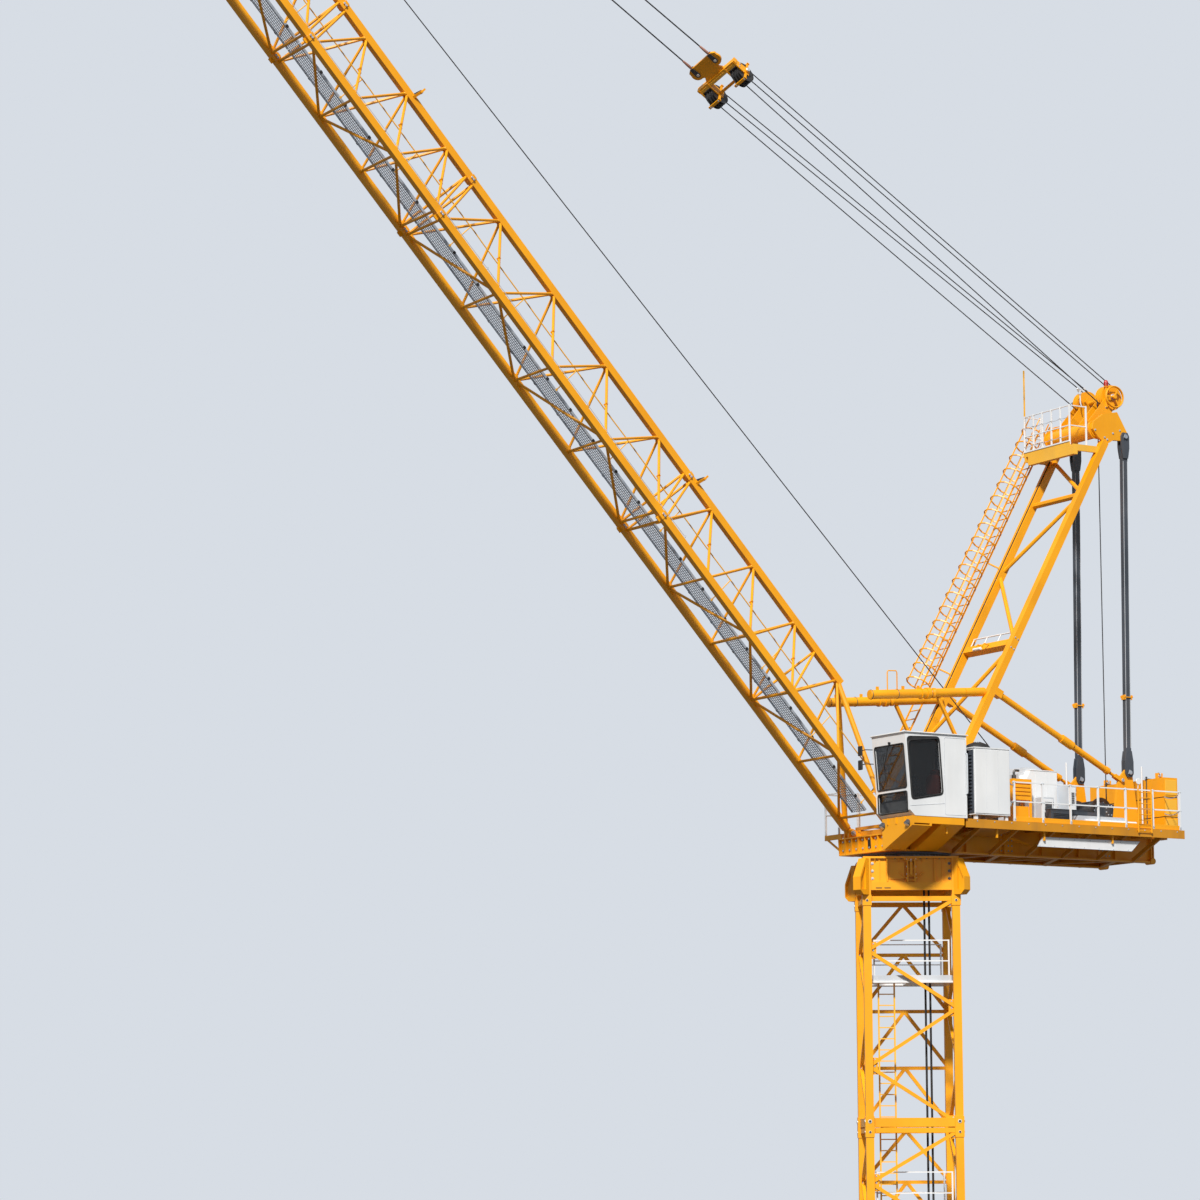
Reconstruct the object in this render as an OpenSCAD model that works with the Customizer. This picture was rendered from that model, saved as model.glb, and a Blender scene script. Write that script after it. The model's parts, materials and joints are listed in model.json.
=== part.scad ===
// Luffing-jib tower crane at half scale, in millimetres.
// +Z is up, the slewing axis is the Z axis and the jib points along +X.

/* [Tower] */
// Width of the square tower over its corner legs
tower_w = 1225; // [1000:5:1500]
// Width of a tower corner leg
leg_w = 100; // [70:2:120]
// Height of one tower section
section_h = 2900; // [2400:50:3200]
// Height of the base frame under the first section
base_h = 500; // [400:10:700]
// Turn of the tower about its axis, seen from above, in degrees
tower_turn = -30.4; // [-45:0.2:45]
// Thickness of the tower's diagonal bars
tower_brace = 44; // [30:1:60]
// Height of the strong beam at the foot of a section
foot_beam_h = 110; // [80:2:140]
// Radius of the anchor bolt circle of a foot
anchor_circle_r = 150; // [130:1:165]
// Radius of an anchor bolt hole
anchor_hole_r = 15; // [8:0.5:18]

/* [Tower head] */
// Width of the head's box
head_box_w = 1140; // [1000:5:1200]
// Width of the head's top flange
head_flange_w = 1210; // [1150:5:1300]
// Outer radius of the slewing ring
ring_r = 565; // [500:5:600]
// Number of teeth of the slewing ring
tooth_count = 72; // [48:4:96]

/* [Slewing platform] */
// Distance of a main girder's middle from the slewing axis
girder_y = 480; // [450:5:520]
// Rear end of the girders, behind the slewing axis
girder_rear = 3635; // [3400:5:3800]
// Height of a girder
girder_h = 335; // [300:5:360]
// Half width of the deck
deck_half_w = 1200; // [1000:10:1300]
// Height of the deck over its edge
deck_h = 40; // [30:1:50]
// Height of the railing over the deck
rail_h = 510; // [450:5:560]

/* [Cab] */
// Length of the cab
cab_l = 950; // [900:5:980]
// Width of the cab
cab_w = 710; // [600:5:720]
// Height of the cab
cab_h = 1035; // [950:5:1100]
// Thickness of the cab's wall
cab_wall = 20; // [12:1:30]

/* [A-frame] */
// Lean of the A-frame legs to the rear, in degrees from upright
frame_lean = 29.46; // [25:0.1:32]
// Distance of an A-frame leg's middle from the centre plane
frame_y = 509; // [505:1:540]
// Width of an A-frame leg
frame_leg_w = 100; // [80:2:110]
// Length of an A-frame leg along its lean
frame_leg_l = 5905; // [5600:5:6000]
// Radius of the rope sheaves at the A-frame head
head_sheave_r = 172; // [140:2:185]

/* [Jib] */
// Luffing angle of the jib at rest, in degrees
jib_luff = 47.35; // [45:0.5:50]
// Distance between the middles of the two bottom chords
jib_w = 918; // [880:2:930]
// Height of the top chord over the bottom chords
jib_h = 926; // [880:2:940]
// Width of a jib chord
chord_w = 90; // [70:2:96]
// Radius of a jib brace
jib_brace_r = 17.5; // [14:0.5:22]
// Distance from the pivot to the first jib joint
joint_a = 5035; // [4900:5:5200]
// Distance from the pivot to the second jib joint
joint_b = 9635; // [9500:5:9800]
// Distance from the pivot to the third jib joint
joint_c = 12225; // [12100:5:12400]
// Distance from the pivot to the fourth jib joint
joint_d = 16825; // [16700:5:17000]
// Distance from the pivot to the end of the top chord
jib_tip = 21690; // [21500:5:21800]
// Radius of the jib pivot pin
pivot_pin_r = 25; // [20:0.5:30]

/* [Ropes and hook] */
// Radius of a rope
rope_r = 7; // [5:0.5:9]
// Distance of the floating block from the A-frame head
block_reach = 6850; // [6500:10:7200]
// Turn of the floating block about its ropes, in degrees
block_turn = 28.5; // [0:0.5:45]
// Height of the hook block under the jib tip
hook_drop = 6000; // [4000:50:8000]
// Radius of the hook block's sheave
hook_sheave_r = 150; // [120:5:180]

/* [Hidden] */
paint = "#f0a818";
white = "#eceae4";
dark = "#33383c";
gap = 0.3;            // seat clearance between pieces
big = 40000;          // longer than any piece

section_count = 4;
bay_count = 4;
tower_top = base_h + section_count * section_h;
ring_z = tower_top + 540;
leg_mid = (tower_w - leg_w) / 2;
girder_bottom = ring_z + 15;
girder_top = girder_bottom + girder_h;
deck_top = girder_top + deck_h;
girder_web = 16;
flange_w = 120;
flange_t = 20;
pivot_x = 545;
pivot_z = ring_z + 300;
leg_foot_x = -60;
leg_foot_z = ring_z + 450;
cab_x = -65;
cab_y = deck_half_w + 25 - cab_w;
tip_sheave = [jib_tip + 560, -20];
tip_sheave_r = 150;
top_sheave = [jib_tip + 10, jib_h + 200];
eye_w = 56;
eye_r = 50;
winch_x = -1950;
winch_z = ring_z + 700;
luff_winch_x = -2990;

// A square bar from p to q, w wide and h high
module bar(p, q, w, h) {
    d = q - p;
    l = norm(d);
    translate(p) rotate([0, acos(d.z / l), atan2(d.y, d.x)])
        translate([-h / 2, -w / 2, 0]) cube([h, w, l]);
}

// A bar of eight sides from p to q, with radius r
module tube(p, q, r) {
    d = q - p;
    l = norm(d);
    translate(p) rotate([0, acos(d.z / l), atan2(d.y, d.x)]) cylinder(h = l, r = r, $fn = 8);
}

// A true round bar from p to q
module rod(p, q, r) {
    d = q - p;
    l = norm(d);
    translate(p) rotate([0, acos(d.z / l), atan2(d.y, d.x)]) cylinder(h = l, r = r, $fn = 48);
}

// A box by its lowest and highest corners
module block(a, b) {
    translate(a) cube(b - a);
}

// A plate with the given outline in X and Z, from y0 to y1
module side_plate(points, y0, y1) {
    translate([0, y1, 0]) rotate([90, 0, 0]) linear_extrude(y1 - y0) polygon(points);
}

// A disc or ring across Y
module disc(x, z, r, y0, y1) {
    translate([x, y0, z]) rotate([-90, 0, 0]) cylinder(h = y1 - y0, r = r, $fn = 64);
}

// A copy on each side of the centre plane
module both_sides() {
    children();
    mirror([0, 1, 0]) children();
}

// The tower's own frame, turned about the slewing axis
module tower_frame() {
    rotate([0, 0, tower_turn]) children();
}

module at_corners(d) {
    for (sx = [-1, 1], sy = [-1, 1]) translate([sx * d, sy * d, 0]) children();
}

foot_plate_w = 400;
foot_plate_t = 30;
hub_w = 360;

module base_frame() {
    color(paint) tower_frame() difference() {
        union() {
            at_corners(leg_mid) {
                block([-foot_plate_w / 2, -foot_plate_w / 2, 0], [foot_plate_w / 2, foot_plate_w / 2, foot_plate_t]);
                block([-70, -70, 0], [70, 70, base_h - gap]);
            }
            for (a = [45, 135]) rotate([0, 0, a])
                block([-leg_mid * sqrt(2), -50, 0], [leg_mid * sqrt(2), 50, 180]);
            for (s = [-1, 1]) {
                block([-leg_mid, s * leg_mid - 45, 200], [leg_mid, s * leg_mid + 45, 360]);
                block([s * leg_mid - 45, -leg_mid, 200], [s * leg_mid + 45, leg_mid, 360]);
            }
            block([-hub_w / 2, -hub_w / 2, 0], [hub_w / 2, hub_w / 2, foot_plate_t]);
        }
        at_corners(leg_mid) for (i = [0:3]) rotate([0, 0, 90 * i]) translate([anchor_circle_r, 0, -1])
            cylinder(h = foot_plate_t + 2, r = anchor_hole_r, $fn = 48);
    }
}

// Braces of the face at +Y: kind 0 is a zigzag, kind 1 is a K with a beam at every bay
module tower_face(kind) {
    bay = section_h / bay_count;
    x = leg_mid;
    w = tower_brace;
    lift = w * 0.7;
    for (i = [0:bay_count - 1]) {
        z0 = i * bay + lift;
        z1 = (i + 1) * bay - (i == bay_count - 1 ? w : -lift);
        side = (i % 2 == 0) ? 1 : -1;
        if (kind == 0) {
            bar([-side * x, 0, z0], [side * x, 0, z1], w, w);
            node_plate(-side, z0 + w);
            node_plate(side, z1 - w);
        }
        else {
            bar([-x, 0, z0], [0, 0, z1], w, w);
            bar([x, 0, z0], [0, 0, z1], w, w);
            if (i > 0) bar([-x, 0, z0], [x, 0, z0], w, w);
        }
    }
    bar([-x, 0, foot_beam_h / 2], [x, 0, foot_beam_h / 2], 60, foot_beam_h);
    bar([-x, 0, section_h - w], [x, 0, section_h - w], 50, 60);
}

// Plate where a brace meets the leg on the given side
module node_plate(side, z) {
    x = leg_mid - leg_w / 2;
    block([min(side * (x - node_plate_w), side * x), -node_plate_t / 2, z - node_plate_w],
        [max(side * (x - node_plate_w), side * x), node_plate_t / 2, z + node_plate_w]);
}

node_plate_w = 62;
node_plate_t = 12;
collar_h = 130;
collar_w = 116;

module tower_section(number) {
    color(paint) translate([0, 0, base_h + (number - 1) * section_h]) tower_frame() {
        at_corners(leg_mid) {
            block([-leg_w / 2, -leg_w / 2, 0], [leg_w / 2, leg_w / 2, section_h - gap]);
            block([-collar_w / 2, -collar_w / 2, 0], [collar_w / 2, collar_w / 2, collar_h]);
            block([-collar_w / 2, -collar_w / 2, section_h - collar_h], [collar_w / 2, collar_w / 2, section_h - gap]);
        }
        for (a = [0, 90, 270]) rotate([0, 0, a]) translate([0, leg_mid, 0]) tower_face(0);
        rotate([0, 0, 180]) translate([0, leg_mid, 0]) tower_face(1);
    }
}

ladder_x = 310;
ladder_y = 330;
ladder_w = 200;
platform_t = 24;
platform_lift = section_h - 1100;
cable_x = [-250, -190];
cable_y = 290;
cable_r = 14;
shaft_rail_h = 520;

// Ladder flights inside the tower, one in each section
module tower_ladders() {
    color("#f2b53a") tower_frame() for (i = [0:section_count - 1]) {
        z0 = base_h + i * section_h + (i == 0 ? 0 : platform_lift - section_h + platform_t + gap);
        z1 = base_h + i * section_h + platform_lift - gap;
        for (s = [-1, 1]) block([ladder_x + s * ladder_w / 2 - 10, ladder_y - 12, z0],
            [ladder_x + s * ladder_w / 2 + 10, ladder_y + 12, z1]);
        for (z = [z0 + 80:140:z1 - 40]) bar([ladder_x - ladder_w / 2, ladder_y, z], [ladder_x + ladder_w / 2, ladder_y, z], 14, 14);
    }
}

module tower_platforms() {
    w = leg_mid - 31;
    rail_x = leg_mid - leg_w / 2 - 40;
    a = [ladder_x - 260, -200];
    b = [ladder_x + 160, ladder_y - 30];
    color("#d8dadb") tower_frame() for (i = [0:section_count - 1])
        translate([0, 0, base_h + i * section_h + platform_lift]) {
            difference() {
                // four panels leave the climbing hatch between them
                union() {
                    block([-w, -w, 0], [a.x - gap, w, platform_t]);
                    block([b.x + gap, -w, 0], [w, w, platform_t]);
                    block([a.x, -w, 0], [b.x, a.y, platform_t]);
                    block([a.x, b.y, 0], [b.x, w, platform_t]);
                }
                at_corners(leg_mid) block([-leg_w / 2 - gap, -leg_w / 2 - gap, -1], [leg_w / 2 + gap, leg_w / 2 + gap, platform_t + 1]);
                for (x = cable_x) block([x - cable_r - gap, cable_y - cable_r - gap, -1],
                    [x + cable_r + gap, cable_y + cable_r + gap, platform_t + 1]);
            }
            for (sx = [-1, 1], sy = [-1, 1]) translate([sx * rail_x, sy * rail_x, 0])
                block([-10, -10, platform_t + gap], [10, 10, platform_t + shaft_rail_h]);
            for (h = [shaft_rail_h / 2, shaft_rail_h], sy = [-1, 1])
                bar([-rail_x, sy * rail_x, platform_t + h - 8], [rail_x, sy * rail_x, platform_t + h - 8], 14, 14);
        }
}

// Two power cables that hang clipped inside the tower
module power_cables() {
    color("#15171a") tower_frame() for (x = cable_x)
        tube([x, cable_y, base_h + 200], [x, cable_y, tower_top + 165], cable_r);
}

head_box_low = ring_z - 375;
head_flange_z = ring_z - 75;
flange_plate = 25;
head_bore_r = 430;
claw_out = 170;
claw_w = 120;

module tower_head() {
    half = head_box_w / 2;
    rim = head_flange_w / 2;
    low = head_box_low;
    top = head_flange_z;
    foot = tower_top + 4;
    claw = [[0, top], [60, top], [claw_out, low + 60], [claw_out, foot + 56], [claw_out - 60, foot], [0, foot]];
    pocket = [[62, top - 70], [claw_out - 16, low + 40], [claw_out - 16, foot + 66], [62, foot + 66]];
    color(paint) tower_frame() {
        at_corners(leg_mid) block([-leg_w / 2, -leg_w / 2, tower_top], [leg_w / 2, leg_w / 2, top]);
        difference() {
            block([-half, -half, low], [half, half, top]);
            block([-half + 40, -half + 40, low - 1], [half - 40, half - 40, top + 1]);
        }
        difference() {
            block([-rim, -rim, top], [rim, rim, top + flange_plate]);
            translate([0, 0, top - 1]) cylinder(h = flange_plate + 2, r = head_bore_r, $fn = 96);
        }
        for (a = [0:90:270]) rotate([0, 0, a]) {
            bar([-leg_mid, leg_mid, tower_top + 115], [leg_mid, leg_mid, tower_top + 115], 70, 100);
            for (x = [-450:150:450]) translate([x, 0, 0]) rotate([90, 0, 90]) linear_extrude(10)
                polygon([[half - 1, top], [rim - 3, top], [half - 1, top - 60]]);
            for (x = [-400, 400]) block([x - 6, half - 1, low + 2], [x + 6, half + 14, top]);
            block([-half, half - 1, low], [half, half + 10, low + 22]);
            rotate([0, 0, 45]) translate([leg_mid * sqrt(2) + 20, 0, 0]) difference() {
                side_plate(claw, -claw_w / 2, claw_w / 2);
                for (d = [-1, 1]) side_plate(pocket, d * claw_w / 2 - 24, d * claw_w / 2 + 24);
            }
        }
        translate([0, 0, low + 40]) linear_extrude(top - low - 90) polygon([[85, half - 1], [330, half - 1], [85, half + 30]]);
        for (d = [-1, 1]) bar([d * 66, half + 18, top - 4], [d * 16, half + 18, top - 190], 20, 20);
        block([-34, half - 1, top - 236], [34, half + 38, top - 180]);
        block([-90, half - 1, top - 26], [90, half + 32, top]);
    }
}

ring_split = ring_z - 16;

module ring_gear() {
    z0 = head_flange_z + flange_plate;
    color(dark) tower_frame() translate([0, 0, z0]) difference() {
        union() {
            cylinder(h = ring_split - z0, r = ring_r - 12, $fn = 144);
            for (i = [0:tooth_count - 1]) rotate([0, 0, i * 360 / tooth_count])
                translate([ring_r - 20, -8, 4]) cube([20, 16, ring_split - z0 - 8]);
        }
        translate([0, 0, -1]) cylinder(h = 100, r = head_bore_r, $fn = 96);
    }
}

module slewing_ring() {
    z0 = ring_split + 0.5;
    color(dark) translate([0, 0, z0]) difference() {
        cylinder(h = girder_bottom - z0, r = ring_r, $fn = 144);
        translate([0, 0, -1]) cylinder(h = 100, r = head_bore_r, $fn = 96);
    }
}

rear_hang = 230;

// One girder, on the side y > 0
module girder() {
    web_end = pivot_x - 125;
    y0 = girder_y - flange_w / 2;
    y1 = girder_y + flange_w / 2;
    block([-girder_rear, y0, girder_bottom], [web_end, y1, girder_bottom + flange_t]);
    block([-girder_rear - rear_hang, y0, girder_top - flange_t], [web_end, y1, girder_top]);
    block([-girder_rear, girder_y - girder_web / 2, girder_bottom], [web_end, girder_y + girder_web / 2, girder_top]);
    block([-girder_rear, y0, girder_bottom], [-girder_rear + 14, y1, girder_top]);
    disc(-girder_rear + 26, girder_bottom + 22, 42, y0, y1 + 12);
    for (i = [1:6]) block([-girder_rear * i / 6 + 30, girder_y, girder_bottom], [-girder_rear * i / 6 + 46, y1 - 4, girder_top]);
    block([web_end - 16, girder_y, girder_bottom], [web_end, y1 - 4, girder_top]);
}

module left_girder() {
    color(paint) girder();
}

module right_girder() {
    color(paint) mirror([0, 1, 0]) girder();
}

// Cross beams between the girder webs and the zigzag under them
module girder_bracing() {
    y_web = girder_y - girder_web / 2 - gap;
    y_flange = girder_y - flange_w / 2 - gap;
    z0 = girder_bottom + flange_t + gap;
    z1 = girder_top - flange_t - gap;
    color("#c98a16") {
        for (x = [-3560, -2900, -2300, -1700, -1150, -560, 380]) block([x, -y_web, z0], [x + 40, y_web, z1]);
        intersection() {
            block([-3560, -y_flange, girder_bottom], [380, y_flange, z0 + 10]);
            for (i = [0:5]) {
                x = -3540 + i * 480;
                side = (i % 2 == 0) ? 1 : -1;
                bar([x, -side * 440, z0 - 5], [x + 480, side * 440, z0 - 5], 70, 24);
            }
        }
        difference() {
            block([-600, -y_flange, girder_bottom], [420, y_flange, girder_bottom + 16]);
            translate([0, 0, girder_bottom - 1]) cylinder(h = 30, r = 330, $fn = 72);
        }
    }
}

lug_t = 24;

// Front cross beam with the lugs and pins that carry the jib
module jib_pivot_frame() {
    x0 = pivot_x - 125 + gap;
    x1 = pivot_x + 75;
    y = jib_w / 2;
    end = y + 120;
    top = pivot_z - 65;
    lug = [[x0, top - 2], [pivot_x + 70, top - 2], [pivot_x + 57, pivot_z + 18], [pivot_x + 40, pivot_z + 44],
        [pivot_x, pivot_z + 60], [pivot_x - 40, pivot_z + 44], [x0, pivot_z - 10]];
    color(paint) {
        block([x0, -end, girder_bottom], [x1, end, top]);
        block([x1 - 1, -end, top - 14], [x1 + 36, end, top]);
        block([x1 - 1, -end, girder_bottom], [x1 + 22, end, girder_bottom + 14]);
        for (i = [-4:4]) translate([0, i * (end - 7) / 4 + 7, 0]) rotate([90, 0, 0]) linear_extrude(14)
            polygon([[x1 - 1, girder_bottom], [x1 + 22, girder_bottom], [x1 + 36, top], [x1 - 1, top]]);
        for (s = [-1, 1]) {
            for (d = [-1, 1]) side_plate(lug, s * y + d * (eye_w / 2 + 2 + lug_t / 2) - lug_t / 2,
                s * y + d * (eye_w / 2 + 2 + lug_t / 2) + lug_t / 2);
            disc(pivot_x, pivot_z, pivot_pin_r, s * y - 70, s * y + 70);
        }
    }
}

cab_floor_z = deck_top;

// Cantilever brackets and beams that carry the cab
module cab_console() {
    y0 = girder_y + flange_w / 2 + gap;
    y1 = deck_half_w + 20;
    y2 = jib_w / 2 + 120 + gap;
    z = cab_floor_z - gap;
    x1 = pivot_x + 240;
    rib = [[y0, girder_bottom], [y0 + 90, girder_bottom], [y1, z - 90], [y1, z], [y0, z]];
    front = [[y2, girder_bottom], [y2 + 60, girder_bottom], [y1, z - 120], [y1, z], [y2, z]];
    skin = [[y0 + 90, girder_bottom], [y1, z - 90], [y1, z - 78], [y0 + 90, girder_bottom + 12]];
    front_skin = [[y2 + 60, girder_bottom], [y1, z - 120], [y1, z - 108], [y2 + 60, girder_bottom + 12]];
    color(paint) {
        for (x = [-20, 300]) translate([x, 0, 0]) rotate([90, 0, 90]) linear_extrude(30) polygon(rib);
        translate([-20, 0, 0]) rotate([90, 0, 90]) linear_extrude(350) polygon(skin);
        block([-20, y1 - 16, z - 90], [x1, y1, z]);
        block([-20, y0, z - 20], [pivot_x - 130, y1, z]);
        for (x = [pivot_x - 60, x1 - 30]) translate([x, 0, 0]) rotate([90, 0, 90]) linear_extrude(30) polygon(front);
        translate([pivot_x - 60, 0, 0]) rotate([90, 0, 90]) linear_extrude(300) polygon(front_skin);
        block([pivot_x - 130, y2, z - 16], [x1, y1, z]);
        for (y = [y2 + 120, y2 + 300, y2 + 480]) block([x1 - 6, y, z - 80], [x1 + 14, y + 14, z]);
    }
}

edge_t = 16;
edge_drop = 70;

module deck() {
    x0 = -girder_rear + 30;
    x1 = cab_x - gap;
    y = deck_half_w;
    color("#b9892a") difference() {
        union() {
            block([x0, -y, deck_top - 10], [x1, y, deck_top]);
            for (s = [-1, 1]) block([x0, s * (y - edge_t / 2) - edge_t / 2, girder_top - edge_drop],
                [x1, s * (y - edge_t / 2) + edge_t / 2, deck_top]);
            for (x = [x0:500:x1]) block([x, -y, girder_top], [x + 24, y, deck_top]);
            block([x1 - 24, -y, girder_top], [x1, y, deck_top]);
            block([x1 - 24, -girder_y + 60, deck_top - 10], [pivot_x - 130, girder_y - 60, deck_top]);
            block([pivot_x - 154, -girder_y - 50, girder_top], [pivot_x - 130, girder_y + 50, deck_top]);
        }
        block([-430, -330, girder_top - 1], [230, 330, deck_top + 1]);
    }
}

// Struts from the girders' lower flange out to the deck's edge
module deck_struts() {
    y0 = girder_y + flange_w / 2 + gap;
    y1 = deck_half_w - edge_t - gap;
    arm = [[y0, girder_bottom], [y0 + 30, girder_bottom], [y1, girder_top - 50], [y1, girder_top - gap], [y0, girder_top - gap],
        [y0, girder_top - 30], [y1 - 90, girder_top - 30], [y0, girder_bottom + 44]];
    color("#c98a16") {
        for (i = [0:5], s = [-1, 1]) translate([-girder_rear * (i + 0.6) / 6.2, 0, 0]) rotate([90, 0, 90]) linear_extrude(30)
            polygon([for (p = arm) [s * p.x, p.y]]);
        translate([-girder_rear * 1.6 / 6.2, 0, 0]) rotate([90, 0, 90]) linear_extrude(girder_rear / 6.2)
            polygon([[y1, girder_top - 50], [y1, girder_top - 40], [y0 + 60, girder_top - 100], [y0 + 60, girder_top - 112]]);
    }
}

post_w = 22;

// Railing on the side y > 0, from x0 to x1
module railing(x0, x1, count) {
    y = deck_half_w - 30;
    z = deck_top + gap;
    for (i = [0:count]) {
        x = x0 + (x1 - x0) * i / count;
        block([x - post_w / 2, y - post_w / 2, z], [x + post_w / 2, y + post_w / 2, z + rail_h]);
    }
    for (h = [rail_h - 10, rail_h / 2]) bar([x0 - post_w / 2, y, z + h], [x1 + post_w / 2, y, z + h], 16, 16);
    block([x0, y - 4, z], [x1, y + 4, z + 60]);
}

module left_railing() {
    color(white) railing(-girder_rear + 80, -850, 6);
}

module right_railing() {
    color(white) mirror([0, 1, 0]) railing(-girder_rear + 80, -100, 8);
}

// Small platform beside the jib foot, on the side y < 0
module front_platform() {
    x0 = pivot_x - 260;
    x1 = pivot_x + 60;
    y0 = -jib_w / 2 - 120 - gap;
    y1 = -950;
    z = ring_z + 290;
    color(paint) {
        block([x0, y1, z], [x1, y0, z + 16]);
        block([x0, y1, z - 50], [x0 + 20, y0, z]);
        block([x1 - 20, y1, z - 50], [x1, y0, z]);
        difference() {
            bar([x1 - 10, y0 + 20, girder_bottom + 40], [x1 - 10, y1 + 24, z - 24], 16, 24);
            block([x0, y0, girder_bottom], [x1 + 1, y0 + 100, z]);
        }
        for (x = [x0 + 12, x1 - 12]) for (y = [y1 + 12, y0 - 60])
            block([x - 10, y - 10, z], [x + 10, y + 10, z + 560]);
        for (h = [280, 550]) {
            bar([x0 + 12, y1 + 12, z + h], [x1 - 12, y1 + 12, z + h], 14, 14);
            bar([x1 - 12, y1 + 12, z + h], [x1 - 12, y0 - 60, z + h], 14, 14);
            bar([x0 + 12, y1 + 12, z + h], [x0 + 12, y0 - 60, z + h], 14, 14);
        }
    }
}

// Side outline of the cab, grown inwards by d
function cab_outline(d) = [[d, d], [cab_l - 145 - d * 0.6, d], [cab_l - 65 - d * 0.8, 70 + d * 0.4],
    [cab_l - 55 - d, 370], [cab_l - d, cab_h - d], [d, cab_h - d]];

// Points of the corner b between a and c, rounded over the length r on both sides
function corner(a, b, c, r) = let (p = b + (a - b) * r / norm(a - b), q = b + (c - b) * r / norm(c - b))
    [for (t = [0:0.25:1]) (1 - t) * (1 - t) * p + 2 * t * (1 - t) * b + t * t * q];

// An outline with all its corners rounded
function rounded(points, r) = let (n = len(points)) [for (i = [0:n - 1])
    each corner(points[(i + n - 1) % n], points[i], points[(i + 1) % n], r)];

// A rounded side window of the cab, grown outwards by d
function side_window(d) = rounded([[cab_l * 0.395 - d, cab_h * 0.28 - d], [cab_l * 0.89 + d, cab_h * 0.2 - d],
    [cab_l * 0.953 + d, cab_h * 0.903 + d], [cab_l * 0.447 - d, cab_h * 0.952 + d]], 60);
front_pane = [cab_h * 0.34, cab_h * 0.87];
foot_pane = [cab_h * 0.05, cab_h * 0.295];
pane_in = 45;

module cab_shell() {
    color(white) translate([cab_x, cab_y, cab_floor_z]) {
        difference() {
            side_plate(cab_outline(0), 0, cab_w);
            side_plate(cab_outline(cab_wall), cab_wall, cab_w - cab_wall);
            side_plate(side_window(0), -1, cab_w + 1);
            block([cab_l - 110, pane_in, front_pane[0]], [cab_l + 20, cab_w - pane_in, front_pane[1]]);
            block([cab_l - 130, pane_in, foot_pane[0]], [cab_l + 20, cab_w - pane_in, foot_pane[1]]);
            block([-1, 90, cab_h / 2], [cab_wall + 1, cab_w - 90, cab_h - 100]);
        }
        block([-12, 0, cab_h - 1], [cab_l + 14, cab_w + 12, cab_h + 16]);
    }
}

module cab_glass() {
    in = cab_wall + gap;
    color("#22282c") translate([cab_x, cab_y, cab_floor_z]) {
        side_plate(side_window(9), in, in + 6);
        side_plate(side_window(9), cab_w - in - 6, cab_w - in);
        block([in, 80, cab_h / 2 - 10], [in + 6, cab_w - 80, cab_h - 90]);
        intersection() {
            difference() {
                side_plate(cab_outline(in), pane_in - 10, cab_w - pane_in + 10);
                side_plate(cab_outline(in + 6), 0, cab_w);
            }
            for (p = [front_pane, foot_pane]) block([cab_l - 160, 0, p[0] - 8], [cab_l, cab_w, p[1] + 8]);
        }
    }
}

module control_cabinet() {
    x0 = -760;
    x1 = -205;
    y0 = frame_y + frame_leg_w / 2 + 81;
    y1 = deck_half_w;
    z = deck_top + gap;
    color(white) {
        block([x0, y0, z + 60], [x1, y1, z + 900]);
        block([x0 - 8, y0 - 6, z + 900], [x1 + 8, y1 + 8, z + 914]);
        for (x = [x0 + 20, x1 - 60], y = [y0 + 20, y1 - 60]) block([x, y, z], [x + 40, y + 40, z + 60]);
    }
}

module machine_hoods() {
    z = deck_top + gap;
    y = deck_half_w;
    color("#c9ccce") {
        side_plate([[-1740, z], [-1440, z], [-1440, z + 700], [-1480, z + 780], [-1740, z + 800]], 60, y - 700);
        block([-1790, y - 560, z], [-1600, y - 420, z + 380]);
        block([-2110, y - 560, z], [-1970, y - 360, z + 540]);
        side_plate([[-2750, z], [-1900, z], [-1930, z + 130], [-2720, z + 130]], y - 240, y - 90);
        block([-1750, -y + 300, z], [-1250, -y + 560, z + 620]);
        block([-1180, -y + 240, z], [-820, -y + 540, z + 820]);
        side_plate([[-2900, z], [-2300, z], [-2340, z + 240], [-2860, z + 240]], -y + 180, -y + 480);
    }
}

// Louvred unit on its stand behind the cabinet
module generator_box() {
    z = deck_top + gap;
    x0 = -1450;
    x1 = -1150;
    y0 = deck_half_w - 640;
    y1 = y0 + 200;
    color(paint) {
        block([x0, y0, z + 330], [x1, y1, z + 600]);
        for (x = [x0, x1 - 26], y = [y0, y1 - 26]) block([x, y, z], [x + 26, y + 26, z + 331]);
        block([x0 + 30, y0 + 30, z], [x1 - 30, y1 - 30, z + 250]);
        for (h = [z + 390:50:z + 560]) block([x0 + 30, y1 - 1, h], [x1 - 30, y1 + 10, h + 24]);
    }
}

drum_r = 130;
drum_half = 260;
winch_side = 20;

// Side frames of a winch at the given place
module winch_frame(x, y) {
    z = deck_top + gap;
    plate = [[x - 190, z], [x + 190, z], [x + 110, winch_z + 60], [x, winch_z + 110], [x - 110, winch_z + 60]];
    for (s = [-1, 1]) difference() {
        side_plate(plate, y + s * (drum_half + 25) - winch_side / 2, y + s * (drum_half + 25) + winch_side / 2);
        disc(x, winch_z, 31, y - 400, y + 400);
    }
    for (d = [-150, 150]) block([x + d - 20, y - drum_half - 25, z], [x + d + 20, y + drum_half + 25, z + 40]);
}

// Drum with its flanges and shaft
module winch_drum(x, y) {
    disc(x, winch_z, drum_r, y - drum_half + 20, y + drum_half - 20);
    for (s = [-1, 1]) disc(x, winch_z, drum_r + 45, y + s * (drum_half - 10) - 8, y + s * (drum_half - 10) + 8);
    disc(x, winch_z, 30.5, y - drum_half - 50, y + drum_half + 50);
}

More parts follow.
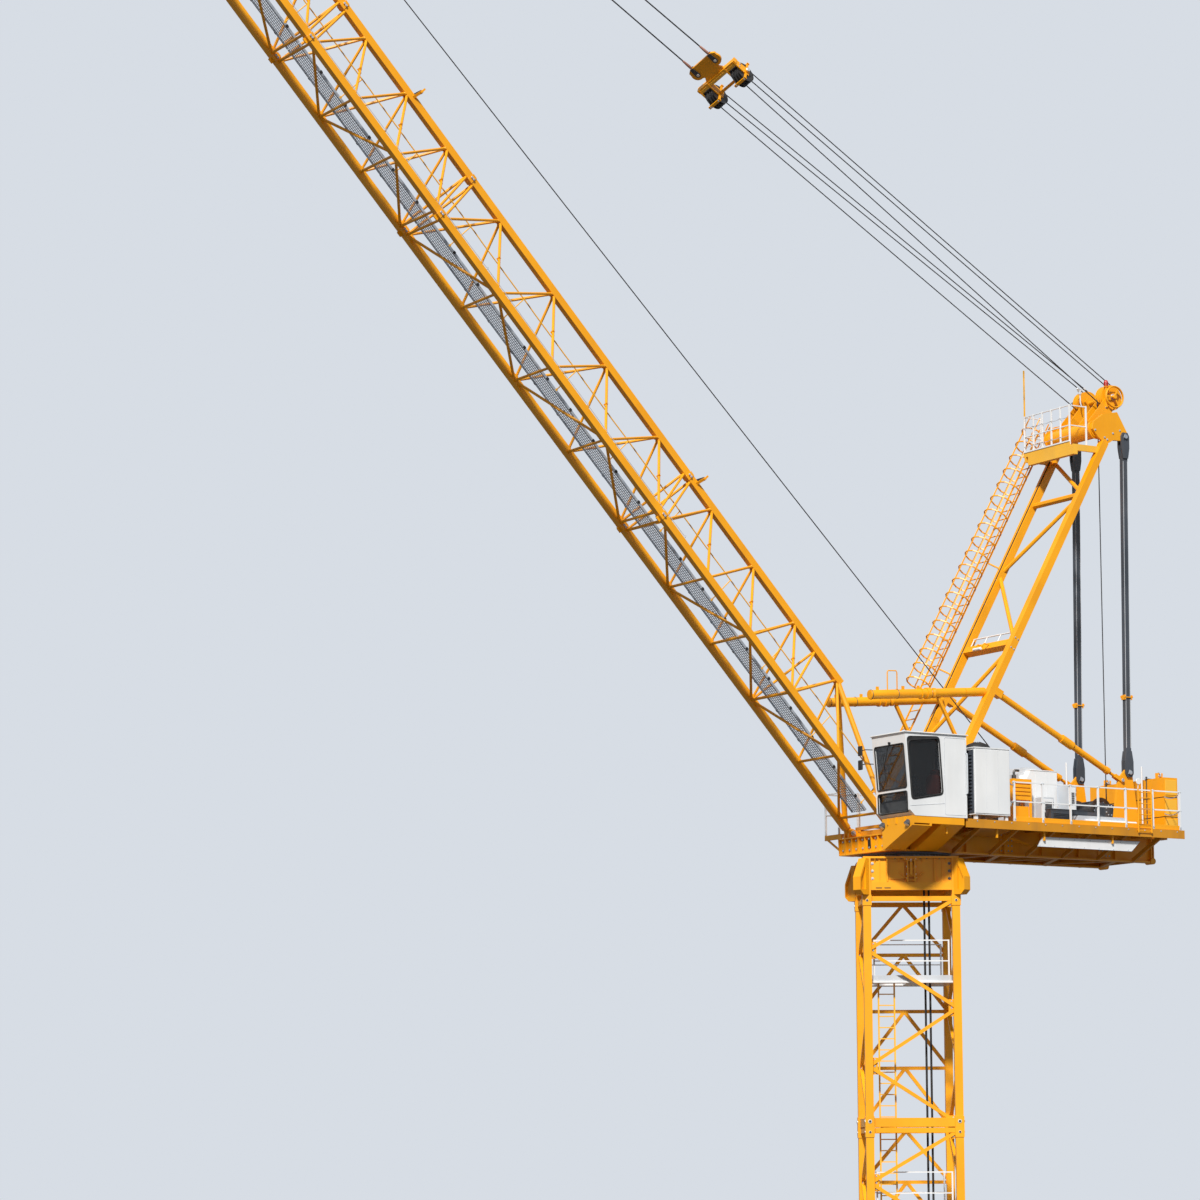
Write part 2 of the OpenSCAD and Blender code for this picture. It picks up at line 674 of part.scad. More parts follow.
module hoist_winch() {
    z = deck_top + gap;
    y = drum_half + 55;
    color("#4c5154") {
        winch_frame(winch_x, 0);
        block([winch_x - 130, -y - 155, z], [winch_x + 130, -y, winch_z + 90]);
        disc(winch_x + 20, winch_z - 40, 88, -y - 420, -y - 154);
        block([winch_x - 60, -y - 400, z], [winch_x + 100, -y - 180, winch_z - 90]);
        block([-2200, deck_half_w - 355, z], [-1600, deck_half_w - 245, z + 210]);
    }
}

module hoist_drum() {
    color("#3a3e41") winch_drum(winch_x, 0);
}

module luffing_winch() {
    z = deck_top + gap;
    y = drum_half + 55;
    x = luff_winch_x;
    color("#4c5154") {
        winch_frame(x, 0);
        block([x - 90, y, z], [x + 90, y + 125, winch_z + 70]);
        rod([x - 400, y + 63, winch_z - 20], [x - 89, y + 63, winch_z - 20], 62);
        block([x - 380, y + 20, z], [x - 120, y + 106, winch_z - 70]);
        block([x + 230, y - 15, z], [x + 430, y + 115, winch_z - 50]);
        rod([x + 89, y + 50, winch_z - 100], [x + 231, y + 50, winch_z - 100], 34);
    }
}

module luffing_drum() {
    color("#3a3e41") winch_drum(luff_winch_x, 0);
}

ballast_half_w = 768;
ballast_t = 230;
ballast_h = 780;

// Ballast slabs in three tiers on the girders' rear ends
module ballast() {
    x0 = -girder_rear - rear_hang;
    x1 = x0 + ballast_t;
    w = ballast_half_w;
    tier = ballast_h / 3;
    color("#e8a51c") {
        difference() {
            for (i = [0:2]) block([x0, -w, girder_top + gap + i * tier], [x1, w, girder_top + (i + 1) * tier]);
            for (i = [1:2]) difference() {
                block([x0 - 1, -w - 1, girder_top + i * tier - 6], [x1 + 1, w + 1, girder_top + i * tier + 6]);
                block([x0 + 8, -w + 8, girder_top], [x1 - 8, w - 8, girder_top + ballast_h]);
            }
        }
        for (y = [-w * 0.7, w * 0.7]) difference() {
            block([x0 + 60, y - 12, girder_top + ballast_h - 4], [x0 + 170, y + 12, girder_top + ballast_h + 80]);
            disc(x0 + 115, girder_top + ballast_h + 42, 22, y - 20, y + 20);
        }
    }
}

// The A-frame's own frame: local Z runs up the legs, local X points forward
module lean_frame() {
    translate([leg_foot_x, 0, leg_foot_z]) rotate([0, -frame_lean, 0]) children();
}

function lean_point(v, y, u) = [leg_foot_x + v * cos(frame_lean) - u * sin(frame_lean), y,
    leg_foot_z + v * sin(frame_lean) + u * cos(frame_lean)];
leg_start = 172;

module frame_leg() {
    foot_z = deck_top + gap;
    lean_frame() block([-frame_leg_w / 2, frame_y - frame_leg_w / 2, leg_start],
        [frame_leg_w / 2, frame_y + frame_leg_w / 2, frame_leg_l]);
    foot = lean_point(0, 0, leg_start + 30);
    for (s = [-1, 1]) side_plate([[-260, foot_z], [cab_x - 10, foot_z], [foot.x + 56, foot.z], [foot.x - 50, foot.z]],
        frame_y + s * 40 - 8, frame_y + s * 40 + 8);
}

module left_frame_leg() {
    color(paint) frame_leg();
}

module right_frame_leg() {
    color(paint) mirror([0, 1, 0]) frame_leg();
}

cross_beam_u = 2676;
cross_tube_u = 5048;

module frame_bracing() {
    y = frame_y - frame_leg_w / 2 - gap;
    color(paint) lean_frame() intersection() {
        block([-300, -y, 0], [300, y, big]);
        union() {
            bar([0, -y, cross_beam_u], [0, y, cross_beam_u], 110, 90);
            tube([0, -y, cross_tube_u], [0, y, cross_tube_u], 40);
            tube([0, y + 50, cross_beam_u + 60], [0, -y - 50, 3900], 28);
            tube([0, -y - 50, 3950], [0, y + 50, cross_tube_u - 40], 28);
            tube([0, y + 50, cross_tube_u + 40], [0, -y - 50, 5800], 28);
            tube([0, -y - 50, 1300], [0, y + 50, cross_beam_u - 70], 28);
        }
    }
}

head_tube = [165, frame_leg_l + 112];
head_tube_r = 112;
sheave_axis = [58.6, frame_leg_l + 746];
tie_pin = [-241, frame_leg_l + 255];
sheave_group_y = 240;
cheek_t = 16;

module frame_head() {
    l = frame_leg_l;
    plate = [[-46, l + gap], [50, l + gap], [120, l + 2], [255, l + 50], [285, l + 150], [200, l + 330], [17, l + 488],
        [-311, l + 306], [-318, l + 241], [-106, l + 110]];
    cheek = [[60, l + 112], [270, l + 112], [130, l + 795], [58, l + 835], [-10, l + 795], [-40, l + 395]];
    color(paint) lean_frame() {
        both_sides() {
            difference() {
                side_plate(plate, frame_y - 20, frame_y + 20);
                disc(tie_pin.x, tie_pin.y, 30, frame_y - 30, frame_y + 30);
            }
            for (d = [-1, 1]) side_plate(cheek, sheave_group_y + d * 85 - cheek_t / 2, sheave_group_y + d * 85 + cheek_t / 2);
            disc(head_tube.x, head_tube.y, head_tube_r + 20, frame_y - 48, frame_y - 34);
        }
        difference() {
            disc(head_tube.x, head_tube.y, head_tube_r, -frame_y + 20, frame_y - 20);
            disc(head_tube.x, head_tube.y, head_tube_r - 14, -frame_y + 60, frame_y - 60);
        }
        rod([sheave_axis.x, -340, sheave_axis.y], [sheave_axis.x, 340, sheave_axis.y], 30);
    }
}

groove_pitch = 44;
groove_depth = 26;
block_sheave_r = 145;
yoke_l = 505;
link_gap = 12;

// A grooved rope sheave across Y with a bore
module sheave(x, z, r, y, grooves, bore) {
    pitch = groove_pitch;
    w = grooves * pitch;
    translate([x, y - w / 2, z]) rotate([-90, 0, 0]) difference() {
        rotate_extrude($fn = 96) polygon(concat([[bore, 0]],
            [for (i = [0:grooves - 1]) each [[r, i * pitch], [r, i * pitch + 6], [r - groove_depth, i * pitch + pitch / 2 - 8],
                [r - groove_depth, i * pitch + pitch / 2 + 8], [r, (i + 1) * pitch - 6]]], [[r, w], [bore, w]]));
        translate([0, 0, -1]) cylinder(h = w + 2, r = bore, $fn = 48);
    }
}

module head_sheaves() {
    color("#2c3033") lean_frame() both_sides() sheave(sheave_axis.x, sheave_axis.y, head_sheave_r, sheave_group_y, 3, 30.5);
}

frame_stretch = frame_leg_l - 5905;   // the legs' length beyond the drawn one
head_platform_z = ring_z + 5510 + frame_stretch * cos(frame_lean);
head_platform_x = [for (x = [-2815, -2440]) x - frame_stretch * sin(frame_lean)];
head_platform_y = [-540, 450];
head_rail_h = 560;
mast_h = 1200;

// Platform across the front of the A-frame head, with its beam, brackets, posts and rails
module head_platform() {
    x = head_platform_x;
    y = head_platform_y;
    z = head_platform_z;
    back = x[0] + 85;
    front = x[1] - 12;
    color("#e9c25a") {
        block([x[0], y[0], z], [x[1], y[1], z + 16]);
        for (s = [-1, 1]) difference() {
            block([x[0] - 100, s * frame_y - 15, z - 70], [x[1], s * frame_y + 15, s < 0 ? z : z + 16]);
            lean_frame() block([-1000, -2000, 0], [frame_leg_w / 2 + gap, 2000, big]);
        }
        block([x[1] - 70, y[0] + 90, z - 120], [x[1], frame_y + 15, z]);
        block([x[1] - 4, y[0], z], [x[1], y[1], z + 60]);
        for (i = [0:5]) block([front - 9, y[0] + 3 + (y[1] - y[0] - 24) * i / 5, z],
            [front + 9, y[0] + 21 + (y[1] - y[0] - 24) * i / 5, z + head_rail_h]);
        for (py = [y[0] + 12, y[1] - 12]) {
            block([back - 9, py - 9, z], [back + 9, py + 9, z + head_rail_h]);
            for (h = [head_rail_h / 2, head_rail_h - 10]) bar([back, py, z + h], [front, py, z + h], 12, 12);
        }
        for (h = [head_rail_h / 2, head_rail_h - 10]) bar([front, y[0] + 12, z + h], [front, y[1] - 12, z + h], 12, 12);
        bar([front - 20, y[0] - 7, z - 20], [front - 20, y[0] - 7, z + mast_h], 16, 16);
    }
}

tie_foot = [-3245, ring_z + 1190];

module tie_bars() {
    top = lean_point(tie_pin.x, 0, tie_pin.y);
    color("#3c444b") both_sides() {
        difference() {
            union() {
                for (d = [-1, 1]) {
                    y = frame_y + d * 33;
                    side_plate(tie_fork(top.x, top.z, -1), y - 12, y + 12);
                    side_plate(tie_fork(tie_foot.x, tie_foot.y, 1), y - 12, y + 12);
                }
                bar([top.x, frame_y, top.z - 160], [tie_foot.x, frame_y, tie_foot.y + 160], 60, 84);
            }
            disc(top.x, top.z, 30, frame_y - 60, frame_y + 60);
            disc(tie_foot.x, tie_foot.y, 30, frame_y - 60, frame_y + 60);
        }
        disc(top.x, top.z, 29.5, frame_y - 60, frame_y + 60);
        disc(tie_foot.x, tie_foot.y, 29.5, frame_y - 60, frame_y + 60);
    }
}

// Outline of a tie bar's fork around its pin, reaching up for s = 1 and down for s = -1
function tie_fork(x, z, s) = [[x - 40, z - s * 58], [x + 40, z - s * 58], [x + 66, z - s * 10], [x + 66, z + s * 150],
    [x + 42, z + s * 290], [x - 42, z + s * 290], [x - 66, z + s * 150], [x - 66, z - s * 10]];

strut_foot = [-3125, ring_z + 1085];
strut_r = 42;

module rear_struts() {
    z = deck_top + gap;
    y = frame_y;
    top = [-900, y, ring_z + 2227];
    foot = [strut_foot.x, y, strut_foot.y];
    l = norm(foot - top);
    d = (foot - top) / l;
    color(paint) both_sides() {
        difference() {
            side_plate([[-3420, z], [-2960, z], [-3066, foot.z - 36], [-3084, foot.z + 30], [tie_foot.x + 50, tie_foot.y + 40],
                [tie_foot.x - 30, tie_foot.y + 40], [tie_foot.x - 60, tie_foot.y - 20]], y - 20, y + 20);
            disc(tie_foot.x, tie_foot.y, 30, y - 40, y + 40);
        }
        difference() {
            union() {
                rod(top, foot - d * 250, strut_r);
                bar(top, top + d * 300, strut_r * 2.4, strut_r * 2.4);
            }
            lean_frame() block([-frame_leg_w / 2 - gap, 0, 0], [1000, 2000, big]);
        }
        rod(top + d * l * 0.56, top + d * l * 0.64, strut_r * 1.35);
        rod(foot - d * 290, foot - d * 236, strut_r * 1.15);
        rod(foot - d * 250, foot - d * 90, 20);
        for (e = [-1, 1]) {
            bar(foot - d * 130 + [0, e * 30, 0], foot + [0, e * 30, 0], 9, 50);
            disc(foot.x, foot.z, 32, y + e * 30 - 6, y + e * 30 + 6);
        }
        bar(foot - d * 128, foot - d * 100, 68, 46);
        disc(foot.x, foot.z, 15, y - 46, y + 46);
    }
}

backstop_y = 460;

module backstops() {
    a = [865, backstop_y, ring_z + 1978];
    b = [-940, backstop_y, ring_z + 2128];
    d = (b - a) / norm(b - a);
    sleeve = 935;
    color(paint) both_sides() {
        rod(a, a + d * sleeve, 60);
        rod(a + d * (sleeve - 60), a + d * sleeve, 74);
        rod(a + d * (sleeve - 150), a + d * (sleeve - 130), 72);
        for (e = [120, 520, 760]) bar(a + d * e + [0, 0, 55], a + d * e + [0, 0, 100], 24, 34);
        difference() {
            union() {
                rod(a + d * (sleeve - 1), b, 46);
                rod(a + d * (norm(b - a) - 320), b, 58);
            }
            lean_frame() block([-1000, 0, 0], [frame_leg_w / 2 + gap, 2000, big]);
        }
        difference() {
            bar([-205, backstop_y, ring_z + 2010], [-640, backstop_y, ring_z + 1230], 40, 40);
            lean_frame() block([-1000, 0, 0], [frame_leg_w / 2 + gap, 2000, big]);
        }
    }
}

ladder_out = 725;

module caged_ladder() {
    v = 205;
    u0 = 300;
    u1 = frame_leg_l + 345;
    cage_u = 2000;
    cage_r = 175;
    cut = 122;
    leg_clear = frame_leg_w / 2 + gap;
    color(paint) lean_frame() {
        for (s = [-1, 1]) bar([v, -ladder_out + s * 110, u0], [v, -ladder_out + s * 110, u1], 16, 20);
        for (u = [u0 + 100:140:u1]) bar([v, -ladder_out - 110, u], [v, -ladder_out + 110, u], 11, 11);
        for (u = [cage_u:225:u1]) translate([v + 120, -ladder_out, u]) difference() {
            cylinder(h = 16, r = cage_r, $fn = 12);
            translate([0, 0, -1]) cylinder(h = 18, r = cage_r - 12, $fn = 12);
            block([-400, -400, -1], [-cut, 400, 30]);
        }
        for (a = [-110, -55, 0, 55, 110]) translate([v + 120, -ladder_out, 0]) rotate([0, 0, a])
            block([cage_r - 16, -8, cage_u + 2], [cage_r - 7, 8, u1 - 3]);
        difference() {
            for (u = [600, 2300, 4000, 5700]) bar([v, -ladder_out + 110, u + 7], [0, -frame_y, u + 7], 16, 18);
            block([-leg_clear, -frame_y - leg_clear, 0], [leg_clear, -frame_y + leg_clear, big]);
        }
    }
}

// The jib's own frame: local X runs along the jib from its pivot, local Z points to the top chord
module jib_frame() {
    translate([pivot_x, 0, pivot_z]) rotate([0, -jib_luff, 0]) children();
}

// Warren braces between the chords, with a triangular frame at each end
module jib_braces(s0, s1, n) {
    y = jib_w / 2;
    r = jib_brace_r;
    bay = (s1 - s0) / n;
    for (i = [0:n]) {
        s = s0 + i * bay;
        tube([s, -y, 0], [s, y, 0], r);
        if (i < n) {
            t = s + bay / 2;
            for (d = [-1, 1]) {
                tube([s, d * y, 0], [t, 0, jib_h], r);
                tube([t, 0, jib_h], [s + bay, d * y, 0], r);
            }
            side = (i % 2 == 0) ? 1 : -1;
            tube([s, -side * y, 0], [s + bay, side * y, 0], r);
        }
    }
    for (s = [s0, s1], d = [-1, 1]) tube([s, d * y, 0], [s, 0, jib_h], r);
}

// Three chords from s0 to s1
module jib_chords(s0, s1, top0, top1) {
    c = chord_w / 2;
    for (d = [-1, 1]) block([s0, d * jib_w / 2 - c, -c], [s1, d * jib_w / 2 + c, c]);
    block([top0, -c, jib_h - c], [top1, c, jib_h + c]);
}

joint_margin = 65;
flange_l = 34;

// Chord flanges with their pins on one side of the joint at s, towards dir
module jib_joint(s, dir) {
    c = chord_w / 2 + 7;
    a = min(s, s + dir * flange_l);
    for (p = [[-jib_w / 2, 0], [jib_w / 2, 0], [0, jib_h]]) {
        block([a, p.x - c, p.y - c], [a + flange_l, p.x + c, p.y + c]);
        disc(a + flange_l / 2, p.y, 13, p.x - c - 9, p.x + c + 9);
    }
    for (d = [-1, 1]) translate([a, d * jib_w / 2 - 8, -c - 34]) cube([flange_l, 16, 36]);
}

// Roller over the top chord at s that keeps the hoist rope off it
module rope_roller(s) {
    z = jib_h + chord_w / 2;
    for (d = [-1, 1]) {
        bar([s, d * chord_w / 2, z - 30], [s, d * 160, z + 44], 34, 16);
        block([s - 12, d * 160 - 6, z + 20], [s + 12, d * 160 + 6, z + 96]);
    }
    disc(s, z + 44, 17, -160, 160);
}

module jib_bay_section(s0, s1, n) {
    color(paint) jib_frame() {
        jib_chords(s0, s1, s0, s1);
        jib_braces(s0 + joint_margin, s1 - joint_margin, n);
        jib_joint(s0, 1);
        jib_joint(s1, -1);
        if (s0 == joint_b) rope_roller(joint_b + 1215);
    }
}

module jib_foot_section() {
    y = jib_w / 2;
    top = 1740;
    first = 1200;
    r = jib_brace_r;
    color(paint) jib_frame() difference() {
        union() {
            jib_chords(90, joint_a, top - 60, joint_a);
            for (d = [-1, 1]) {
                block([0, d * y - eye_w / 2, -42], [200, d * y + eye_w / 2, 42]);
                disc(0, 0, eye_r, d * y - eye_w / 2, d * y + eye_w / 2);
                tube([150, d * y, 30], [top, 0, jib_h], 36);
                tube([first, d * y, 0], [top, 0, jib_h], r);
                tube([2225, d * y, 0], [top, 0, jib_h], r);
            }
            tube([first, -y, 0], [first, y, 0], r);
            tube([260, -y, 0], [260, y, 0], r);
            tube([260, -y, 0], [first, y, 0], r);
            tube([first, y, 0], [2225, -y, 0], r);
            jib_braces(2225, joint_a - joint_margin, 3);
            jib_joint(joint_a, -1);
            rope_roller(joint_a - 135);
        }
        for (d = [-1, 1]) disc(0, 0, pivot_pin_r + gap, d * y - 60, d * y + 60);
    }
}

module jib_head_section() {
    y = jib_w / 2;
    t = jib_tip;
    n = tip_sheave;
    color(paint) jib_frame() {
        jib_chords(joint_d, t + 20, joint_d, t + 20);
        jib_braces(joint_d + joint_margin, t - 60, 4);
        jib_joint(joint_d, 1);
        both_sides() {
            bar([t - 40, y, 0], [n.x, 100, n.y], 60, 60);
            side_plate([[n.x - 60, n.y - 40], [n.x + 40, n.y - 40], [n.x + 60, n.y], [n.x + 40, n.y + 40], [n.x - 60, n.y + 40]], 60, 80);
            bar([t, 0, jib_h], [n.x, 70, n.y + 20], 40, 60);
            side_plate([[t - 120, jib_h], [t + 60, jib_h], [t + 60, top_sheave.y + 30], [t - 40, top_sheave.y + 30]], 40, 56);
        }
        rod([n.x, -80, n.y], [n.x, 80, n.y], 20);
        rod([top_sheave.x, -56, top_sheave.y], [top_sheave.x, 56, top_sheave.y], 20);
        rod([t, -pendant_y - 30, jib_h - 21], [t, pendant_y + 30, jib_h - 21], pendant_pin_r);
    }
}

module jib_walkway() {
    z = jib_brace_r + gap;
    w = 150;
    color("#8f9aa8") jib_frame() for (s = [[300, joint_a], [joint_a, joint_b], [joint_b, joint_c], [joint_c, joint_d], [joint_d, jib_tip - 300]]) {
        block([s.x + 4, -w, z], [s.y - 4, w, z + 12]);
        for (d = [-1, 1]) block([s.x + 4, d * (w - 4) - 4, z], [s.y - 4, d * (w - 4) + 4, z + 30]);
    }
}

module jib_tip_sheave() {
    color("#2c3033") jib_frame() sheave(tip_sheave.x, tip_sheave.y, tip_sheave_r, 0, 1, 20.5);
}

module jib_top_sheave() {
    color("#2c3033") jib_frame() sheave(top_sheave.x, top_sheave.y, tip_sheave_r, 0, 1, 20.5);
}

function jib_point(s, h) = [pivot_x + s * cos(jib_luff) - h * sin(jib_luff), 0,
    pivot_z + s * sin(jib_luff) + h * cos(jib_luff)];
pendant_y = 160;
pendant_pin_r = 18;
head_point = lean_point(sheave_axis.x, 0, sheave_axis.y);
pendant_point = jib_point(jib_tip, jib_h - 21);
stay_dir = (pendant_point - head_point) / norm(pendant_point - head_point);
stay_angle = atan2(stay_dir.z, stay_dir.x);
stay_l = norm(pendant_point - head_point);

// Frame at the A-frame head with local X along the luffing ropes
module stay_frame() {
    translate(head_point) rotate([0, -stay_angle, 0]) children();
}

// Frame of the floating block at its axle, turned about the ropes
module block_frame() {
    stay_frame() translate([block_reach, 0, 0]) rotate([block_turn, 0, 0]) children();
}

function block_point(x, y, z) = [block_reach + x, y * cos(block_turn) - z * sin(block_turn),
    y * sin(block_turn) + z * cos(block_turn)];

module luffing_ropes() {
    a = head_sheave_r - groove_depth + rope_r + gap;
    b = block_sheave_r - groove_depth + rope_r + gap;
    color("#1d2023") stay_frame() for (g = [-1, 1], i = [-1:1]) {
        side = (i == 0) ? -1 : 1;
        y = g * sheave_group_y + i * groove_pitch;
        tube([0, y, side * a], block_point(0, y, side * b), rope_r);
    }
}

module floating_block() {
    r = block_sheave_r;
    t = 36;
    neck = [[r + 40, -200], [r + 40, 200], [300, 125], [365, pendant_y + 76], [475, pendant_y + 76], [yoke_l, pendant_y + 34],
        [yoke_l, -pendant_y - 34], [475, -pendant_y - 76], [365, -pendant_y - 76], [300, -125]];
    color("#e9a31a") block_frame() {
        for (s = [-1, 1]) {
            for (d = [-1, 1]) {
                y = s * sheave_group_y + d * 80;
                side_plate([[-50, -52], [50, -60], [r + 90, -50], [r + 90, 50], [50, 60], [-50, 52]], y - 8, y + 8);
                block([-15, y - 8, -r - 26], [15, y + 8, r + 26]);
            }
            for (d = [-1, 1]) block([-18, s * sheave_group_y - 100, d * (r + 18) - 9], [18, s * sheave_group_y + 100, d * (r + 18) + 9]);
        }
        disc(0, 0, 20, -360, 360);
        for (s = [-1, 1]) disc(0, 0, 34, s * 338 - 10, s * 338 + 10);
        block([r + 40, -340, -42], [r + 90, 340, 42]);
        difference() {
            translate([0, 0, -t / 2]) union() {
                linear_extrude(t) polygon(neck);
                for (s = [-1, 1]) translate([400, s * pendant_y, 0]) cylinder(h = t, r = 86, $fn = 64);
            }
            for (s = [-1, 1]) translate([390, s * pendant_y, -t]) cylinder(h = 2 * t, r = 22, $fn = 48);
        }
    }
}

module block_sheaves() {
    color("#1b1d1f") block_frame() both_sides() sheave(0, 0, block_sheave_r, sheave_group_y, 3, 20.5);
}

module jib_pendants() {
    color("#1d2023") stay_frame() for (s = [-1, 1]) difference() {
        union() {
            tube(block_point(yoke_l + link_gap, s * pendant_y, 0), [stay_l - 20, s * pendant_y, 0], rope_r + 2);
            tube(block_point(yoke_l + link_gap, s * pendant_y, 0), block_point(yoke_l + 150, s * pendant_y, 0), 18);
            disc(stay_l, 0, 44, s * pendant_y - 15, s * pendant_y + 15);
        }
        disc(stay_l, 0, pendant_pin_r + gap, s * pendant_y - 20, s * pendant_y + 20);
    }
}

winch_point = [winch_x, 0, winch_z];
hoist_top = jib_point(top_sheave.x, top_sheave.y);
hoist_l = norm(hoist_top - winch_point);
hoist_angle = atan2(hoist_top.z - winch_point.z, hoist_top.x - winch_point.x);

// Taut rope from the luffing drum up to the sheaves of the A-frame head
module lead_rope() {
    a = drum_r + rope_r + gap;
    b = head_sheave_r - groove_depth + rope_r + gap;
    y = sheave_group_y - groove_pitch;
    color("#1d2023") tube([luff_winch_x - a, y, winch_z], [head_point.x + b, y, head_point.z], rope_r);
}

module hoist_frame() {
    translate(winch_point) rotate([0, -hoist_angle, 0]) children();
}

hoist_split = 12000;

module hoist_rope() {
    color("#1d2023") hoist_frame() tube([0, 0, drum_r + rope_r + gap], [hoist_split, 0, drum_r + rope_r + gap], rope_r);
}

module hoist_rope_end() {
    color("#1d2023") hoist_frame() tube([hoist_split + gap, 0, drum_r + rope_r + gap], [hoist_l, 0, tip_sheave_r - groove_depth + rope_r + gap], rope_r);
}

tip_point = jib_point(tip_sheave.x, tip_sheave.y);
hook_block_z = tip_point.z - hook_drop;
hook_rope_x = hook_sheave_r - groove_depth + rope_r + gap;

module hook_ropes() {
    color("#1d2023") for (s = [-1, 1])
        tube([tip_point.x + s * hook_rope_x, 0, tip_point.z], [tip_point.x + s * hook_rope_x, 0, hook_block_z], rope_r);
}

module hook_block() {
    x = tip_point.x;
    z = hook_block_z;
    r = hook_sheave_r;
    cheek = rounded([[x - r - 24, z - 40], [x - 70, z - r - 120], [x + 70, z - r - 120], [x + r + 24, z - 40],
        [x + r + 10, z + 110], [x + 60, z + r + 34], [x - 60, z + r + 34], [x - r - 10, z + 110]], 40);
    color("#e9a31a") {
        both_sides() {
            difference() {
                side_plate(cheek, 32, 50);
                disc(x, z, 20.5, 20, 60);
            }
            difference() {
                disc(x, z, 96, 49, 80);
                disc(x, z, 20.5, 20, 90);
            }
            side_plate([[x - 50, z - r - 100], [x + 50, z - r - 100], [x + 40, z - r - 30], [x - 40, z - r - 30]], 49, 66);
        }
        disc(x, z, 20, -88, 88);
        for (a = [60, 120]) block([x + (r + 18) * cos(a) - 8, -50, z + (r + 18) * sin(a) - 8], [x + (r + 18) * cos(a) + 8, 50, z + (r + 18) * sin(a) + 8]);
        difference() {
            block([x - 50, -50, z - 320], [x + 50, 50, z - 230]);
            translate([x, 0, z - 330]) cylinder(h = 120, r = 25.5, $fn = 48);
        }
    }
}

module hook_block_sheave() {
    color("#2c3033") sheave(tip_point.x, hook_block_z, hook_sheave_r, 0, 1, 20.5);
}

module hook() {
    x = tip_point.x;
    z = hook_block_z;
    color("#8c2f22") translate([x, 0, z - 230]) {
        translate([0, 0, -200]) cylinder(h = 200, r = 25, $fn = 48);
        translate([0, 0, 5]) cylinder(h = 30, r = 30, $fn = 48);
        translate([0, 0, -20]) cylinder(h = 40, r = 25, $fn = 48);
        translate([-75, 0, -260]) rotate([90, 0, 0]) rotate([0, 0, -190]) rotate_extrude(angle = 250, $fn = 64)
            translate([75, 0]) circle(r = 26, $fn = 32);
    }
}

base_frame();
tower_section(1);  // tower_section_1
tower_section(2);  // tower_section_2
tower_section(3);  // tower_section_3
tower_section(4);  // tower_section_4
tower_ladders();
tower_platforms();
power_cables();
tower_head();
ring_gear();
slewing_ring();
left_girder();
right_girder();
girder_bracing();
jib_pivot_frame();
cab_console();
deck();
deck_struts();
left_railing();
right_railing();
front_platform();
cab_shell();
cab_glass();
control_cabinet();
machine_hoods();
generator_box();
hoist_winch();
hoist_drum();
luffing_winch();
luffing_drum();
ballast();
left_frame_leg();
right_frame_leg();
frame_bracing();
frame_head();
head_platform();
head_sheaves();
tie_bars();
rear_struts();
backstops();
caged_ladder();
jib_foot_section();
jib_bay_section(joint_a, joint_b, 4);  // jib_section_2
jib_bay_section(joint_b, joint_c, 3);  // jib_section_3
jib_bay_section(joint_c, joint_d, 4);  // jib_section_4
jib_head_section();
jib_walkway();
jib_tip_sheave();
jib_top_sheave();
lead_rope();
luffing_ropes();
floating_block();
block_sheaves();
jib_pendants();
hoist_rope();
hoist_rope_end();
hook_ropes();
hook_block();
hook_block_sheave();
hook();
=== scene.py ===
"""Looks of the luffing-jib tower crane: materials, small detail, stage, light and camera."""
import json
import math

import bpy
from mathutils import Matrix, Vector


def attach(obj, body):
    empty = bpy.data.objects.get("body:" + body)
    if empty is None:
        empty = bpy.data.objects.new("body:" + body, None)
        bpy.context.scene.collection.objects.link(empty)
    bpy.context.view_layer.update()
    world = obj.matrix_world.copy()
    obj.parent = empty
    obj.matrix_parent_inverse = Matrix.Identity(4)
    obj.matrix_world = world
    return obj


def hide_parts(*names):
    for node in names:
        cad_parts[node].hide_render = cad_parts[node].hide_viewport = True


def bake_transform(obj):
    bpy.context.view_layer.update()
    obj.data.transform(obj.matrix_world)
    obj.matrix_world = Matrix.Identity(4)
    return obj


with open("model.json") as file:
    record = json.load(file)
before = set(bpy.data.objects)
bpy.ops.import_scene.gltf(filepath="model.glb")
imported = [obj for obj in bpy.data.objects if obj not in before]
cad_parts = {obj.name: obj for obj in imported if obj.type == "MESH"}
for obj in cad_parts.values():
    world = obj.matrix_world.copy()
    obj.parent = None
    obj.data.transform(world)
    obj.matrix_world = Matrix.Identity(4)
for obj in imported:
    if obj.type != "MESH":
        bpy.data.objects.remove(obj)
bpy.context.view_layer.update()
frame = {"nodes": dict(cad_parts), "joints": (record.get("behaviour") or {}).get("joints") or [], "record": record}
scene = bpy.context.scene
nodes = frame["nodes"]
joints = {j["name"]: j for j in frame["joints"]}

# The camera, fitted to the photo and given in metres from the slewing ring's middle
RING_Z = joints["slew"]["pos_m"][2]
EYE = Vector((27.725, 38.190, RING_Z - 3.895))
LOOK = Vector((-0.5152, -0.8464, 0.1346)).normalized()
ROLL = -0.004
FOCAL_MM = 110.5
SHIFT = (-0.0054, 0.0535)


def make_camera():
    right = LOOK.cross(Vector((0, 0, 1))).normalized()
    up = right.cross(LOOK).normalized()
    right, up = (right * math.cos(ROLL) + up * math.sin(ROLL), up * math.cos(ROLL) - right * math.sin(ROLL))
    data = bpy.data.cameras.new("camera")
    data.lens = FOCAL_MM
    data.sensor_width = 36
    data.shift_x, data.shift_y = SHIFT
    data.clip_end = 2000
    camera = bpy.data.objects.new("camera", data)
    scene.collection.objects.link(camera)
    turn = Matrix((right, up, -LOOK)).transposed().to_4x4()
    camera.matrix_world = Matrix.Translation(EYE) @ turn
    scene.camera = camera


make_camera()


# Materials

def set_inputs(node, values):
    for name, value in values.items():
        node.inputs[name].default_value = value


